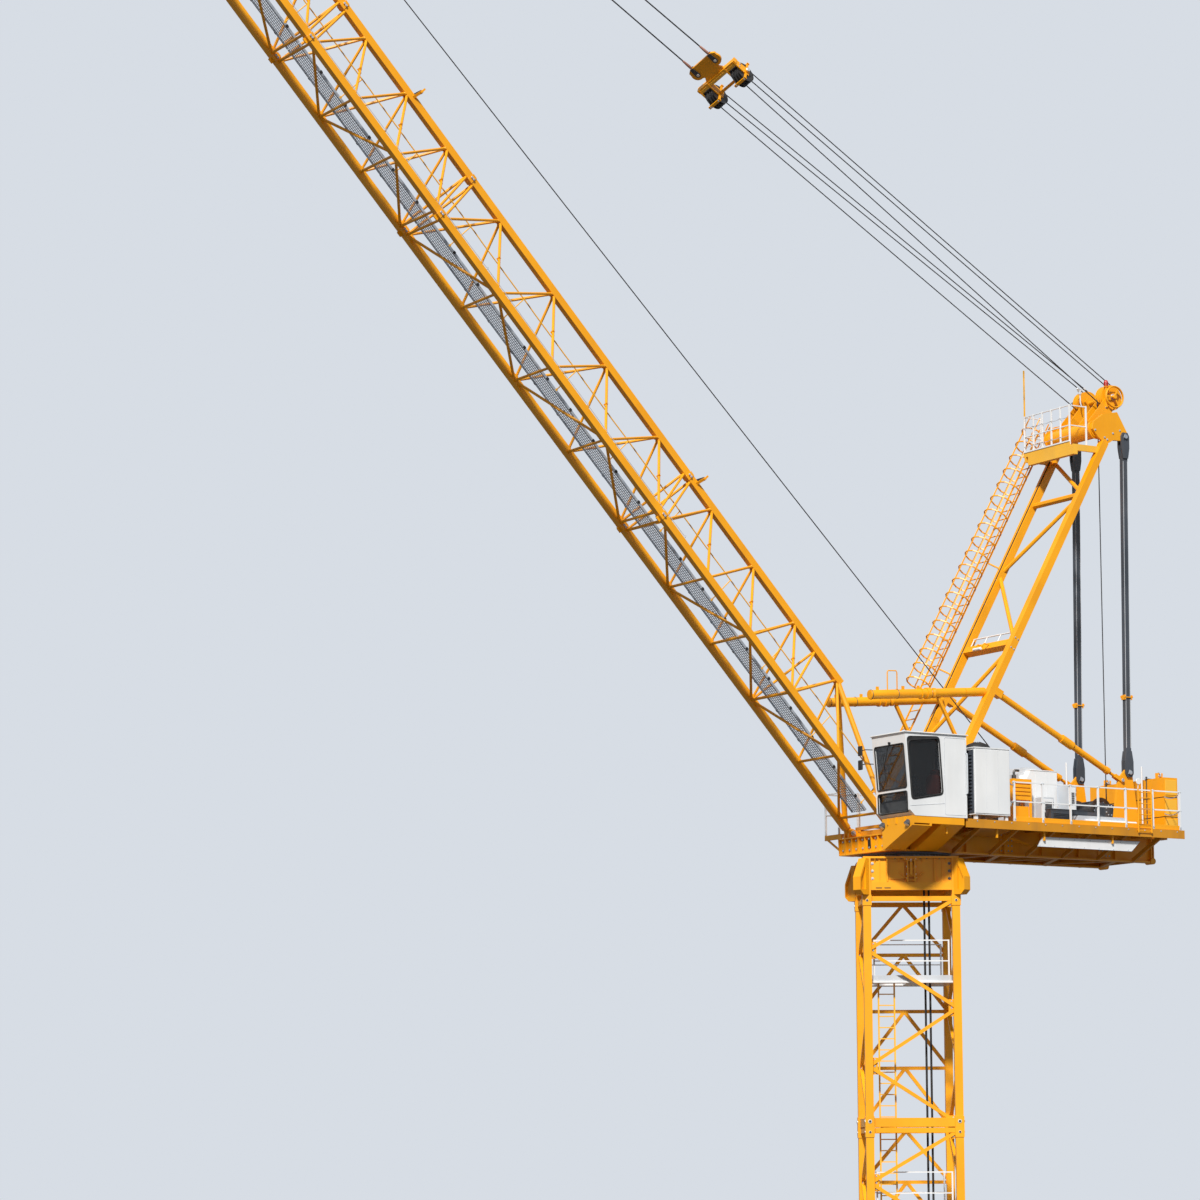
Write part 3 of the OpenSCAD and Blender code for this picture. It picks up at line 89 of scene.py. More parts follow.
def new_material(name):
    material = bpy.data.materials.new(name)
    material.use_nodes = True
    tree = material.node_tree
    shader = tree.nodes["Principled BSDF"]
    return material, tree, shader


def noise(tree, scale, detail=4.0, stretch=(1, 1, 1)):
    """A noise texture in object metres, stretched along the axes."""
    coords = tree.nodes.new("ShaderNodeTexCoord")
    mapping = tree.nodes.new("ShaderNodeMapping")
    set_inputs(mapping, {"Scale": stretch})
    texture = tree.nodes.new("ShaderNodeTexNoise")
    set_inputs(texture, {"Scale": scale, "Detail": detail})
    tree.links.new(coords.outputs["Object"], mapping.inputs["Vector"])
    tree.links.new(mapping.outputs["Vector"], texture.inputs["Vector"])
    return texture.outputs["Fac"]


def ramp(tree, factor, low, high, start=0.35, end=0.65):
    """A colour ramp from low to high over the factor."""
    node = tree.nodes.new("ShaderNodeValToRGB")
    node.color_ramp.elements[0].position = start
    node.color_ramp.elements[1].position = end
    node.color_ramp.elements[0].color = (*low, 1)
    node.color_ramp.elements[1].color = (*high, 1)
    tree.links.new(factor, node.inputs["Fac"])
    return node.outputs["Color"]


def bump(tree, shader, height, strength, distance):
    node = tree.nodes.new("ShaderNodeBump")
    set_inputs(node, {"Strength": strength, "Distance": distance})
    tree.links.new(height, node.inputs["Height"])
    tree.links.new(node.outputs["Normal"], shader.inputs["Normal"])


def mix_value(tree, factor, low, high):
    node = tree.nodes.new("ShaderNodeMapRange")
    set_inputs(node, {"To Min": low, "To Max": high})
    tree.links.new(factor, node.inputs["Value"])
    return node.outputs["Result"]


def dirt_mix(tree, clean, dirt, scale, amount, stretch=(1, 1, 0.15)):
    """Streaks of dirt over a clean colour, running down the surface."""
    streaks = noise(tree, scale, 6.0, stretch)
    sharp = tree.nodes.new("ShaderNodeMapRange")
    set_inputs(sharp, {"From Min": 0.5, "From Max": 0.75, "To Max": amount})
    tree.links.new(streaks, sharp.inputs["Value"])
    mix = tree.nodes.new("ShaderNodeMix")
    mix.data_type = "RGBA"
    tree.links.new(sharp.outputs["Result"], mix.inputs["Factor"])
    tree.links.new(clean, mix.inputs["A"])
    set_inputs(mix, {"B": (*dirt, 1)})
    return mix.outputs["Result"]


def paint(name, low, high, roughness=0.38, dirt=None, amount=0.25, coat=0.25):
    material, tree, shader = new_material(name)
    colour = ramp(tree, noise(tree, 1.7), low, high)
    if dirt:
        colour = dirt_mix(tree, colour, dirt, 5.0, amount)
    tree.links.new(colour, shader.inputs["Base Color"])
    tree.links.new(mix_value(tree, noise(tree, 9.0), roughness - 0.06, roughness + 0.10), shader.inputs["Roughness"])
    set_inputs(shader, {"Coat Weight": coat, "Coat Roughness": 0.25})
    bump(tree, shader, noise(tree, 60.0, 2.0), 0.12, 0.002)
    return material


def metal(name, low, high, roughness, bump_scale=80.0, metallic=1.0):
    material, tree, shader = new_material(name)
    tree.links.new(ramp(tree, noise(tree, 12.0), low, high), shader.inputs["Base Color"])
    set_inputs(shader, {"Metallic": metallic})
    tree.links.new(mix_value(tree, noise(tree, 25.0), roughness - 0.1, roughness + 0.12), shader.inputs["Roughness"])
    bump(tree, shader, noise(tree, bump_scale, 3.0), 0.2, 0.001)
    return material


def glass(name, colour, alpha):
    material, tree, shader = new_material(name)
    tint = ramp(tree, noise(tree, 2.0), colour, tuple(c * 1.3 for c in colour))
    tree.links.new(tint, shader.inputs["Base Color"])
    set_inputs(shader, {"Roughness": 0.04, "Alpha": alpha, "Specular IOR Level": 0.7})
    bump(tree, shader, noise(tree, 3.0, 1.0), 0.03, 0.002)
    return material


def stranded(name, low, high):
    """Wire rope: twisted strands, drawn from the piece's lay coordinates."""
    material, tree, shader = new_material(name)
    coords = tree.nodes.new("ShaderNodeTexCoord")
    wave = tree.nodes.new("ShaderNodeTexWave")
    wave.bands_direction = "DIAGONAL"
    set_inputs(wave, {"Scale": 1.0, "Distortion": 0.2})
    tree.links.new(coords.outputs["UV"], wave.inputs["Vector"])
    tree.links.new(ramp(tree, wave.outputs["Fac"], low, high, 0.2, 0.8), shader.inputs["Base Color"])
    set_inputs(shader, {"Metallic": 0.4})
    tree.links.new(mix_value(tree, noise(tree, 20.0), 0.42, 0.6), shader.inputs["Roughness"])
    bump(tree, shader, wave.outputs["Fac"], 0.6, 0.002)
    return material


YELLOW = paint("yellow_paint", (0.85, 0.345, 0.002), (0.93, 0.400, 0.004), 0.42, (0.42, 0.18, 0.02), 0.16, 0.1)
YELLOW_PALE = paint("yellow_pale", (0.87, 0.44, 0.03), (0.93, 0.50, 0.05), 0.45, (0.45, 0.26, 0.08), 0.2, 0.1)
# A darker copy of the yellow paint, with dirt streaks: painted shade for the parts in shadow under the platform.
SHADED_YELLOW_COPY = paint("yellow_shaded", (0.56, 0.225, 0.004), (0.66, 0.275, 0.008), 0.48, (0.22, 0.12, 0.04), 0.4)
WHITE = paint("white_paint", (0.76, 0.78, 0.80), (0.83, 0.84, 0.85), 0.30, (0.50, 0.48, 0.44), 0.16, 0.5)
GREY = paint("grey_paint", (0.50, 0.54, 0.59), (0.60, 0.63, 0.67), 0.42, (0.30, 0.28, 0.26), 0.25)
DARK = paint("dark_paint", (0.040, 0.050, 0.065), (0.07, 0.08, 0.10), 0.40, (0.16, 0.13, 0.10), 0.2)
ROPE = stranded("wire_rope", (0.018, 0.020, 0.024), (0.075, 0.075, 0.08))
RUBBER = metal("black_rubber", (0.012, 0.012, 0.013), (0.025, 0.025, 0.026), 0.6, 200.0, 0.0)
GALVANISED = metal("galvanised", (0.36, 0.41, 0.48), (0.50, 0.55, 0.61), 0.5, 60.0, 0.4)
STEEL = metal("greased_steel", (0.10, 0.10, 0.105), (0.20, 0.19, 0.18), 0.42, 100.0, 0.9)
SHEAVE = metal("sheave_steel", (0.035, 0.036, 0.040), (0.075, 0.073, 0.072), 0.45, 100.0, 0.6)
PIN = metal("zinc_pins", (0.72, 0.73, 0.74), (0.85, 0.85, 0.85), 0.32, 100.0, 0.5)
TINTED = glass("tinted_glass", (0.010, 0.012, 0.014), 0.52)
RED = paint("red_paint", (0.45, 0.02, 0.015), (0.55, 0.03, 0.02), 0.35)
SOCKET = paint("primer", (0.42, 0.20, 0.15), (0.52, 0.27, 0.20), 0.5)
SEAT = metal("seat_cloth", (0.30, 0.035, 0.02), (0.42, 0.06, 0.03), 0.8, 260.0, 0.0)

SLOT_MATERIAL = {
    "yellow_paint": YELLOW, "white_paint": WHITE, "grey_paint": GREY, "dark_paint": DARK,
    "rope_steel": ROPE, "cable_rubber": RUBBER, "galvanised": GALVANISED, "machined_steel": STEEL,
    "tinted_glass": TINTED, "hook_red": RED,
}
SLOT_OF = {m.name: slot for slot, m in SLOT_MATERIAL.items()}
SLOT_OF.update({YELLOW_PALE.name: "yellow_paint", SHADED_YELLOW_COPY.name: "yellow_paint", SHEAVE.name: "machined_steel",
                SOCKET.name: "machined_steel",
                PIN.name: "galvanised", SEAT.name: "cable_rubber"})
# The deck, its struts and the girder bracing take the darker copy of the yellow paint: painted shade under the
# platform.
NODE_MATERIAL = {"deck": SHADED_YELLOW_COPY, "deck_struts": SHADED_YELLOW_COPY, "girder_bracing": SHADED_YELLOW_COPY, "head_platform": YELLOW_PALE,
                 "tower_ladders": YELLOW_PALE, "head_sheaves": YELLOW, "block_sheaves": SHEAVE,
                 "jib_tip_sheave": SHEAVE, "jib_top_sheave": SHEAVE, "hook_block_sheave": SHEAVE}


def dress_nodes():
    """Every CAD node takes the material of its slot in the record, or its own."""
    for entry in frame["record"]["subparts"]:
        mesh = nodes[entry["node"]].data
        mesh.materials.clear()
        mesh.materials.append(NODE_MATERIAL.get(entry["node"], SLOT_MATERIAL[entry["material_slot"]]))


dress_nodes()


# Shapes of the small pieces, in millimetres in a frame of the crane

MM = 0.001
STRANDS_UV = 6 * math.pi / 5  # six bands of the wave texture around a rope
RING = RING_Z / MM


def shift(x, y, z):
    return Matrix.Translation((x * MM, y * MM, z * MM))


def tilt(angle):
    return Matrix.Rotation(math.radians(-angle), 4, "Y")


def turn_z(angle):
    return Matrix.Rotation(math.radians(angle), 4, "Z")


def joint_at(name):
    return Vector(joints[name]["pos_m"])


WORLD = Matrix.Identity(4)
TOWER_TURN, FRAME_LEAN, LUFF_ANGLE = -30.4, 29.46, 47.35
TOWER = turn_z(TOWER_TURN)
UPPER = shift(0, 0, RING)
TOWER_TOP = TOWER @ UPPER
LEAN = UPPER @ shift(-60, 0, 450) @ tilt(FRAME_LEAN)
JIB = Matrix.Translation(joint_at("luff")) @ tilt(LUFF_ANGLE)
HEAD = joint_at("head_sheaves_turn")
STAY_END = joint_at("pendant_swing")
WINCH = joint_at("hoist_drum_turn")
TOP_SHEAVE = joint_at("jib_top_sheave_turn")
TIP = joint_at("jib_tip_sheave_turn")
HOOK = joint_at("hook_sheave_turn")


def aim(start, end):
    """The frame at start with its X towards end, in the crane's own plane."""
    d = end - start
    return Matrix.Translation(start) @ tilt(math.degrees(math.atan2(d.z, d.x)))


STAY = aim(HEAD, STAY_END)
BLOCK_REACH, BLOCK_ROLL = 6850, 28.5
BLOCK = STAY @ shift(BLOCK_REACH, 0, 0) @ Matrix.Rotation(math.radians(BLOCK_ROLL), 4, "X")
HOIST = aim(WINCH, TOP_SHEAVE)
HOIST_L = (TOP_SHEAVE - WINCH).length / MM
HOOK_BLOCK = Matrix.Translation(HOOK)
PLACES = {"tower": TOWER, "upper": UPPER, "hoist_drum": UPPER, "luffing_drum": UPPER, "jib": JIB, "pendants": STAY,
          "floating_block": BLOCK, "hook_block": HOOK_BLOCK, "hook": HOOK_BLOCK}


def across(d):
    u = d.orthogonal().normalized()
    return u, d.cross(u)


def circle(p, u, v, r, sides, start=0.0):
    return [p + (u * math.cos(a) + v * math.sin(a)) * r
            for a in (start + 2 * math.pi * i / sides for i in range(sides))]


def arc(p, u, v, r, a0, a1, count):
    """Points of an arc about p from angle a0 to a1, in degrees, in the plane of u and v."""
    p, u, v = Vector(p), Vector(u), Vector(v)
    return [p + (u * math.cos(a) + v * math.sin(a)) * r
            for a in (math.radians(a0 + (a1 - a0) * i / count) for i in range(count + 1))]


def sag(p, q, drop, count=10):
    """Points from p to q on a curve that hangs down by drop."""
    p, q = Vector(p), Vector(q)
    return [p.lerp(q, i / count) - Vector((0, 0, 4 * drop * (i / count) * (1 - i / count))) for i in range(count + 1)]


def rounded(points, r, steps=5):
    """An outline with its corners rounded over the length r."""
    out = []
    for i, b in enumerate(points):
        a, b, c = Vector(points[i - 1]), Vector(b), Vector(points[(i + 1) % len(points)])
        p, q = b + (a - b).normalized() * r, b + (c - b).normalized() * r
        out += [p.lerp(b, t).lerp(b.lerp(q, t), t) for t in (k / steps for k in range(steps + 1))]
    return out


class Piece:
    """One mesh of the scene, gathered from simple shapes given in millimetres in its body's frame or in place."""

    def __init__(self, name, material, body="upper", place=None):
        self.name, self.body, self.material = name, body, material
        self.place = PLACES[body] if place is None else place
        self.verts, self.faces, self.lay = [], [], []

    def add(self, points, faces):
        base = len(self.verts)
        self.verts += [self.place @ (Vector(p) * MM) for p in points]
        self.faces += [[base + i for i in face] for face in faces]

    def loft(self, rings, closed=False):
        n, count = len(rings[0]), len(rings)
        faces = []
        for i in range(count if closed else count - 1):
            a, b = i * n, (i + 1) % count * n
            faces += [(a + k, a + (k + 1) % n, b + (k + 1) % n, b + k) for k in range(n)]
        if not closed:
            faces += [tuple(reversed(range(n))), tuple(range((count - 1) * n, count * n))]
        self.add([p for ring in rings for p in ring], faces)

    def box(self, a, b, c=3.0):
        lo, hi = [min(p) for p in zip(a, b)], [max(p) for p in zip(a, b)]
        c = min(c, *(0.25 * (h - l) for l, h in zip(lo, hi)))

        def ring(d, e, z):
            x0, y0, x1, y1 = lo[0] + d, lo[1] + d, hi[0] - d, hi[1] - d
            return [(x0 + e, y0, z), (x1 - e, y0, z), (x1, y0 + e, z), (x1, y1 - e, z),
                    (x1 - e, y1, z), (x0 + e, y1, z), (x0, y1 - e, z), (x0, y0 + e, z)]
        self.loft([ring(c, c * 0.3, lo[2]), ring(0, c, lo[2] + c), ring(0, c, hi[2] - c), ring(c, c * 0.3, hi[2])])

    def rod(self, p, q, r, sides=14, c=2.0, end=None):
        p, q = Vector(p), Vector(q)
        d = (q - p).normalized()
        u, v = across(d)
        end = r if end is None else end
        c = min(c, r * 0.4, (q - p).length * 0.3)
        self.loft([circle(p, u, v, r - c, sides), circle(p + d * c, u, v, r, sides),
                   circle(q - d * c, u, v, end, sides), circle(q, u, v, max(end - c, 0.2), sides)])

    def beam(self, p, q, w, h, up=(0, 0, 1)):
        """A bar with chamfered edges, w across up and h along it."""
        p, q = Vector(p), Vector(q)
        d = (q - p).normalized()
        side = Vector(up).cross(d).normalized() * (w / 2)
        top = d.cross(side).normalized() * (h / 2)
        k = 0.72  # the share of each side that stays flat
        shape = [(1, -k), (1, k), (k, 1), (-k, 1), (-1, k), (-1, -k), (-k, -1), (k, -1)]
        self.loft([[e + side * a + top * b for a, b in shape] for e in (p, q)])

    def tube(self, points, r, sides=8, closed=False, lay=0.0):
        """A round bar along the points; lay is the length of one twist of a rope."""
        points = [Vector(p) for p in points]
        n, rings, u = len(points), [], None
        for i, point in enumerate(points):
            before = points[i - 1] if closed or i else point
            after = points[(i + 1) % n] if closed or i < n - 1 else point
            t = (after - before).normalized()
            u = across(t)[0] if u is None else (u - t * u.dot(t)).normalized()
            rings.append(circle(point, u, t.cross(u), r, sides))
        base = len(self.faces)
        self.loft(rings, closed)
        if lay:
            along = [0.0]
            for a, b in zip(points, points[1:]):
                along.append(along[-1] + (b - a).length / lay)
            for i in range(n - 1):
                self.lay += [(base + i * sides + k, ((k, i), (k + 1, i), (k + 1, i + 1), (k, i + 1)), along, sides)
                             for k in range(sides)]

    def plate(self, outline, y0, y1):
        """A plate with an outline in X and Z, from y0 to y1."""
        area = sum(a[0] * b[1] - b[0] * a[1] for a, b in zip(outline, outline[1:] + outline[:1]))
        points = list(reversed(outline)) if area > 0 else outline
        self.loft([[(x, y, z) for x, z in points] for y in (y0, y1)])

    def bolt(self, p, d, r=9.0):
        """A hexagon head on its washer, standing on p."""
        p, d = Vector(p), Vector(d).normalized()
        u, v = across(d)
        self.loft([circle(p, u, v, r * 1.5, 10), circle(p + d * r * 0.3, u, v, r * 1.5, 10)])
        self.loft([circle(p + d * r * 0.3, u, v, r, 6), circle(p + d * r * 0.95, u, v, r, 6),
                   circle(p + d * r * 1.1, u, v, r * 0.8, 6)])

    def bolt_circle(self, p, u, v, reach, count, d, r, start=0):
        """Bolts on a circle of radius reach about p in the plane of u and v, from start in degrees."""
        for q in circle(Vector(p), u, v, reach, count, math.radians(start)):
            self.bolt(q, d, r)

    def dome(self, p, d, r, h, sides=16, steps=5):
        p, d = Vector(p), Vector(d).normalized()
        u, v = across(d)
        self.loft([circle(p + d * h * math.sin(a), u, v, max(r * math.cos(a), 0.2), sides)
                   for a in (math.pi / 2 * i / steps for i in range(steps + 1))])

    def spin(self, profile, p, d, sides=24):
        """A turned shape about d, from (radius, distance) pairs."""
        p, d = Vector(p), Vector(d).normalized()
        u, v = across(d)
        self.loft([circle(p + d * h, u, v, r, sides) for r, h in profile])

    def louvres(self, a, b, count, depth, normal):
        """Slanted blades between the heights of a and b, standing out along normal."""
        n = Vector(normal)
        for i in range(count):
            z = a[2] + (b[2] - a[2]) * (i + 0.5) / count
            self.beam(Vector((a[0], a[1], z)) + n * depth / 2, Vector((b[0], b[1], z)) + n * depth / 2,
                      depth, (b[2] - a[2]) / count * 0.35)

    def done(self):
        mesh = bpy.data.meshes.new(self.name)
        mesh.from_pydata(self.verts, [], self.faces)
        if self.lay:
            layer = mesh.uv_layers.new(name="lay")
            for face, corners, along, sides in self.lay:
                for loop, (k, i) in zip(mesh.polygons[face].loop_indices, corners):
                    layer.data[loop].uv = (along[i] * STRANDS_UV, STRANDS_UV * k / sides)
        mesh.polygons.foreach_set("use_smooth", [True] * len(mesh.polygons))
        mesh.set_sharp_from_angle(angle=math.radians(35))
        mesh.materials.append(self.material)
        obj = bpy.data.objects.new(self.name, mesh)
        scene.collection.objects.link(obj)
        if self.body:
            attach(obj, self.body)
        return obj


def finish(*pieces):
    for piece in pieces:
        piece.done()


X, Y, Z = Vector((1, 0, 0)), Vector((0, 1, 0)), Vector((0, 0, 1))
BOTH = (-1, 1)


# Tower

BASE, SECTION, LEG = 500, 2900, 562.5
CORNERS = [(a, b) for a in BOTH for b in BOTH]


def tower_joints():
    rings = Piece("tower_pin_rings", PIN, "tower")
    # The black discs in the pin rings stand for the bores: painted shade of the holes.
    bores = Piece("tower_pin_bores_painted_shade", RUBBER, "tower")
    for k in range(5):
        for dz in (-66, 66):
            half = 70 if k == 0 and dz < 0 else 50 if k == 4 and dz > 0 else 58
            for sx, sy in CORNERS:
                p = Vector((sx * LEG, sy * LEG, BASE + k * SECTION + dz))
                for d in (X * sx, Y * sy):
                    face = p + d * half
                    rings.rod(face - d * 2, face + d * 6, 25 if dz > 0 else 17, 18, 1.5)
                    bores.rod(face, face + d * (10 if dz > 0 else 7.5), 14 if dz > 0 else 13, 14, 2)
    finish(rings, bores)


def tower_bolts():
    bolts = Piece("tower_brace_bolts", GALVANISED, "tower")
    bay, lift, w = SECTION / 4, 30.8, 44
    for turn in (0, 90, 270):
        bolts.place = TOWER @ turn_z(turn)
        for k in range(4):
            for i in range(4):
                side = 1 if i % 2 == 0 else -1
                low = i * bay + lift + w
                high = (SECTION - w if i == 3 else (i + 1) * bay + lift) - w
                for s, z in ((-side, low), (side, high)):
                    for dz in (-38, 38):
                        bolts.bolt((s * 488, LEG + 6, BASE + k * SECTION + z + dz), Y, 7)
    bolts.done()


def tower_inside():
    stays = Piece("ladder_brackets", YELLOW_PALE, "tower")
    kick = Piece("platform_toe_boards", GREY, "tower")
    mesh = Piece("platform_grip_bars", GALVANISED, "tower")
    clips = Piece("cable_clips", GALVANISED, "tower")
    for k in range(4):
        z0 = BASE + k * SECTION
        for dz in (56, SECTION - 44):
            for x in (210, 410):
                stays.beam((x, 342, z0 + dz), (x, 536, z0 + dz), 24, 8)
            for x in (-250, -190):
                clips.beam((x, 304, z0 + dz), (x, 536, z0 + dz), 14, 6)
                clips.tube(circle(Vector((x, 290, z0 + dz)), X, Y, 17, 12), 3.5, 6, True)
        top = z0 + 1800 + 24
        for s in BOTH:
            kick.box((-500, s * 516 - 3, top), (500, s * 516 + 3, top + 70), 1)
            kick.box((s * 516 - 3, -500, top), (s * 516 + 3, 500, top + 70), 1)
        for i in range(34):
            y = -495 + i * 30
            end = 500 if not -215 < y < 315 else -275 if y > 250 else 35
            mesh.beam((-500, y, top + 2), (end, y, top + 2), 5, 4)
    finish(stays, kick, mesh, clips)


def base_details():
    gussets = Piece("base_gussets", YELLOW, "tower")
    for sx, sy in CORNERS:
        for turn, s in ((0, sx), (90, sy)):
            gussets.place = TOWER @ shift(sx * LEG, sy * LEG, 0) @ turn_z(turn)
            gussets.plate([(s * 69, 29), (s * 165, 29), (s * 165, 50), (s * 69, 150)], -6, 6)
    gussets.done()


def tower_head_details():
    pale = Piece("head_joint_bolts", PIN, "tower")
    dull = Piece("head_flange_bolts", STEEL, "tower")
    slots = Piece("head_slots_painted_shade", RUBBER, "tower")
    for turn in range(0, 360, 90):
        pale.place = dull.place = slots.place = TOWER_TOP @ turn_z(turn)
        for dz in (-140, -235, -330):
            pale.bolt((487, 570, dz), Y, 13)
            dull.bolt((-487, 570, dz), Y, 13)
        for x in (-520, -440, -360, -200, -120, 120, 200, 360, 440, 520):
            dull.bolt((x, 592, -75), -Z, 8)
        # Thin black sheets in the head's slots: painted shade of the holes.
        for x in (260, 370):
            slots.box((x, 596, -456), (x + 80, 600, -444), 1)
    lock = Piece("head_bracket", YELLOW, "tower", TOWER_TOP)
    shine = Piece("head_bracket_pins", PIN, "tower", TOWER_TOP)
    for x in (-46, 46):
        lock.plate([(x - 9, -372), (x + 9, -372), (x + 9, -78), (x - 9, -78)], 571, 634)
    for z in (-352, -300, -205, -110):
        lock.beam((-60, 606, z), (60, 606, z), 40, 12)
        for x in (-46, 46):
            side = math.copysign(1, x)
            shine.rod((x + side * 8, 620, z + 22), (x + side * 16, 620, z + 22), 13, 14, 2)
    lock.rod((0, 612, -290), (0, 612, -120), 22, 18, 4)
    shine.rod((0, 612, -122), (0, 612, -84), 12, 14, 3)
    for s in BOTH:
        lock.beam((s * 52, 628, -340), (s * 150, 590, -250), 26, 10)
        lock.box((s * 300 - 8, 571, -372), (s * 300 + 8, 600, -82), 2)
    ring = Piece("slewing_ring_seal", RUBBER, "tower", TOWER_TOP)
    ring.tube(circle(Vector((0, 0, -18)), X, Y, 561, 96), 7, 8, True)
    nuts = Piece("slewing_ring_bolts", STEEL)
    nuts.bolt_circle((0, 0, 15), X, Y, 540, 48, Z, 9)
    finish(pale, dull, slots, lock, shine, ring, nuts)


# Girders and platform

DECK = 390  # heights over the slewing ring
GIRDER_TOP = 350
EDGE, DECK_REAR = 1200, -3555


def girder_details():
    plates = Piece("girder_splice_plates", YELLOW)
    bolts = Piece("girder_bolts", GALVANISED)
    pads = Piece("girder_brackets", YELLOW)
    hangers = Piece("deck_hangers", YELLOW)
    for s in BOTH:
        for x in (-1230, -2830):
            plates.box((x - 110, s * 488, 45), (x + 110, s * 498, 320), 2)
            for i in range(4):
                for j in range(4):
                    bolts.bolt((x - 84 + i * 56, s * 498, 80 + j * 68), Y * s, 8)
        for x in (-141, -1206):
            pads.beam((x, s * 600, 240), (x - 300, s * 600, 160), 110, 14)
            pads.beam((x - 40, s * 545, 300), (x - 40, s * 600, 232), 40, 12)
        for x, low in ((200, 190), (-587, 170), (-1340, 165), (-2450, 175)):
            y = s * (EDGE - 60)
            if x > 0 and s < 0:
                continue
            hangers.box((x - 12, y - 12, low), (x + 12, y + 12, 349), 2)
            hangers.box((x - 22, y - 22, 340), (x + 22, y + 22, 349), 2)
    front = Piece("pivot_frame_bolts", GALVANISED)
    for s in BOTH:
        for side in (-72, 72):
            front.rod((545, s * 459 + side - 5, 300), (545, s * 459 + side + 5, 300), 36, 20, 3)
            front.bolt((545, s * 459 + side * 1.06, 300), Y * (1 if side > 0 else -1), 14)
        for i in range(4):
            front.bolt((628, s * (70 + i * 145), 190), X, 9)
            front.bolt((628, s * (70 + i * 145), 80), X, 9)
    # A thin black sheet inside the pivot frame's opening: painted shade of the hollow behind it.
    opening_shade = Piece("pivot_frame_opening_painted_shade", RUBBER)
    opening_shade.box((619, 30, 70), (623, 130, 190), 1)
    finish(plates, bolts, pads, hangers, front, opening_shade)


def sign_plate():
    """The bare plate that hangs under the deck's near edge, with its frame and rivets."""
    outline = [(-1322, 214), (-2917, 221), (-2779, 91), (-1240, 94)]
    board = Piece("blank_plate", WHITE)
    board.plate(outline, 1117, 1123)
    for x in (-1340, -2450):
        board.box((x - 20, 1122, 180), (x + 20, 1130, 212), 1)
    edge = Piece("blank_plate_edge", GREY)
    edge.tube([(x, 1123, z) for x, z in outline], 4, 6, True)
    rivets = Piece("blank_plate_rivets", GALVANISED)
    for i in range(7):
        rivets.dome((-1345 - i * 250, 1123, 202), Y, 7, 4, 8, 3)
        rivets.dome((-1280 - i * 240, 1123, 104), Y, 7, 4, 8, 3)
    finish(board, edge, rivets)


def railings():
    clamps = Piece("railing_clamps", GREY)
    bolts = Piece("railing_bolts", GALVANISED)
    for s, x1, count in ((1, -850, 6), (-1, -100, 8)):
        y = s * (EDGE - 30)
        for i in range(count + 1):
            x = DECK_REAR + (x1 - DECK_REAR) * i / count
            clamps.box((x - 15, y - 15, DECK), (x + 15, y + 15, DECK + 46), 3)
            clamps.dome((x, y, DECK + 510), Z, 13, 9, 10, 3)
            for h in (255, 500):
                clamps.rod((x - 24, y, DECK + h), (x + 24, y, DECK + h), 12, 10, 2)
            bolts.bolt((x, y + s * 15, DECK + 24), Y * s, 6)
    board = Piece("toe_board_skin", YELLOW)
    board.box((-3552, EDGE - 36, DECK + 3), (-853, EDGE - 24, DECK + 62), 2)
    front = Piece("front_platform_rails", WHITE)
    line = [Vector(p) for p in ((297, -640, 0), (297, -938, 0), (593, -938, 0), (593, -640, 0))]
    for p in line:
        front.box(p + Vector((-11.5, -11.5, 308)), p + Vector((11.5, 11.5, 851)), 2)
    for h in (570, 840):
        for p, q in zip(line, line[1:]):
            front.beam(p + Z * h, q + Z * h, 16.6, 16.6)
    gate = Piece("ladder_gate", YELLOW)
    for x in (-2822, -3040):
        gate.tube([(x, EDGE + 22, 330), (x, EDGE + 22, 900)], 10)
        for z in (360, 600):
            gate.beam((x, EDGE - 20, z), (x, EDGE + 22, z), 20, 10)
    for i in range(8):
        gate.tube([(-2822, EDGE + 22, 350 + i * 72), (-3040, EDGE + 22, 350 + i * 72)], 6, 6)
    disc = Piece("white_disc", WHITE)
    disc.rod((-2863, EDGE - 16, 1000), (-2863, EDGE - 8, 1000), 42, 24, 3)
    disc.tube([(-2863, EDGE - 30, 880), (-2863, EDGE - 18, 1000)], 6)
    chains = Piece("gate_chains", GALVANISED)
    for h in (260, 480):
        for k, (a, b) in enumerate((((-850, 1170), (-770, 1190)), ((DECK_REAR, 1170), (-3620, 790)))):
            points = sag((*a, DECK + h), (*b, DECK + h), 20 + 20 * k, 12 + 14 * k)
            for i, (p, q) in enumerate(zip(points, points[1:])):
                d = (q - p).normalized()
                u, v = across(d)
                link = [(p + q) / 2 + d * 13 * math.cos(t) + (u if i % 2 else v) * 6 * math.sin(t)
                        for t in (2 * math.pi * m / 8 for m in range(8))]
                chains.tube(link, 2.2, 5, True)
    finish(clamps, bolts, board, front, gate, disc, chains)


def deck_details():
    # The tread bars take the darker copy of the yellow paint: painted shade.
    treads = Piece("deck_tread_bars", SHADED_YELLOW_COPY)
    for i in range(64):
        x = -3560 + i * 54
        if x < -440:
            treads.beam((x, -1150, DECK + 1.5), (x, 1150, DECK + 1.5), 8, 3)
    tray = Piece("deck_white_tray", WHITE)
    section = ((1062, 2), (1148, 2), (1148, 50), (1130, 84), (1080, 88), (1062, 60))
    tray.loft([[(x, y, DECK + h) for y, h in section] for x in (-2860, -2030)])
    for i in range(4):
        tray.box((-2820 + i * 240, 1056, DECK + 2), (-2790 + i * 240, 1154, DECK + 40), 2)
    edge = Piece("deck_edge_bolts", GALVANISED)
    for i in range(13):
        for s in BOTH:
            edge.bolt((-3480 + i * 270, s * EDGE, DECK - 25), Y * s, 6)
    finish(treads, tray, edge)


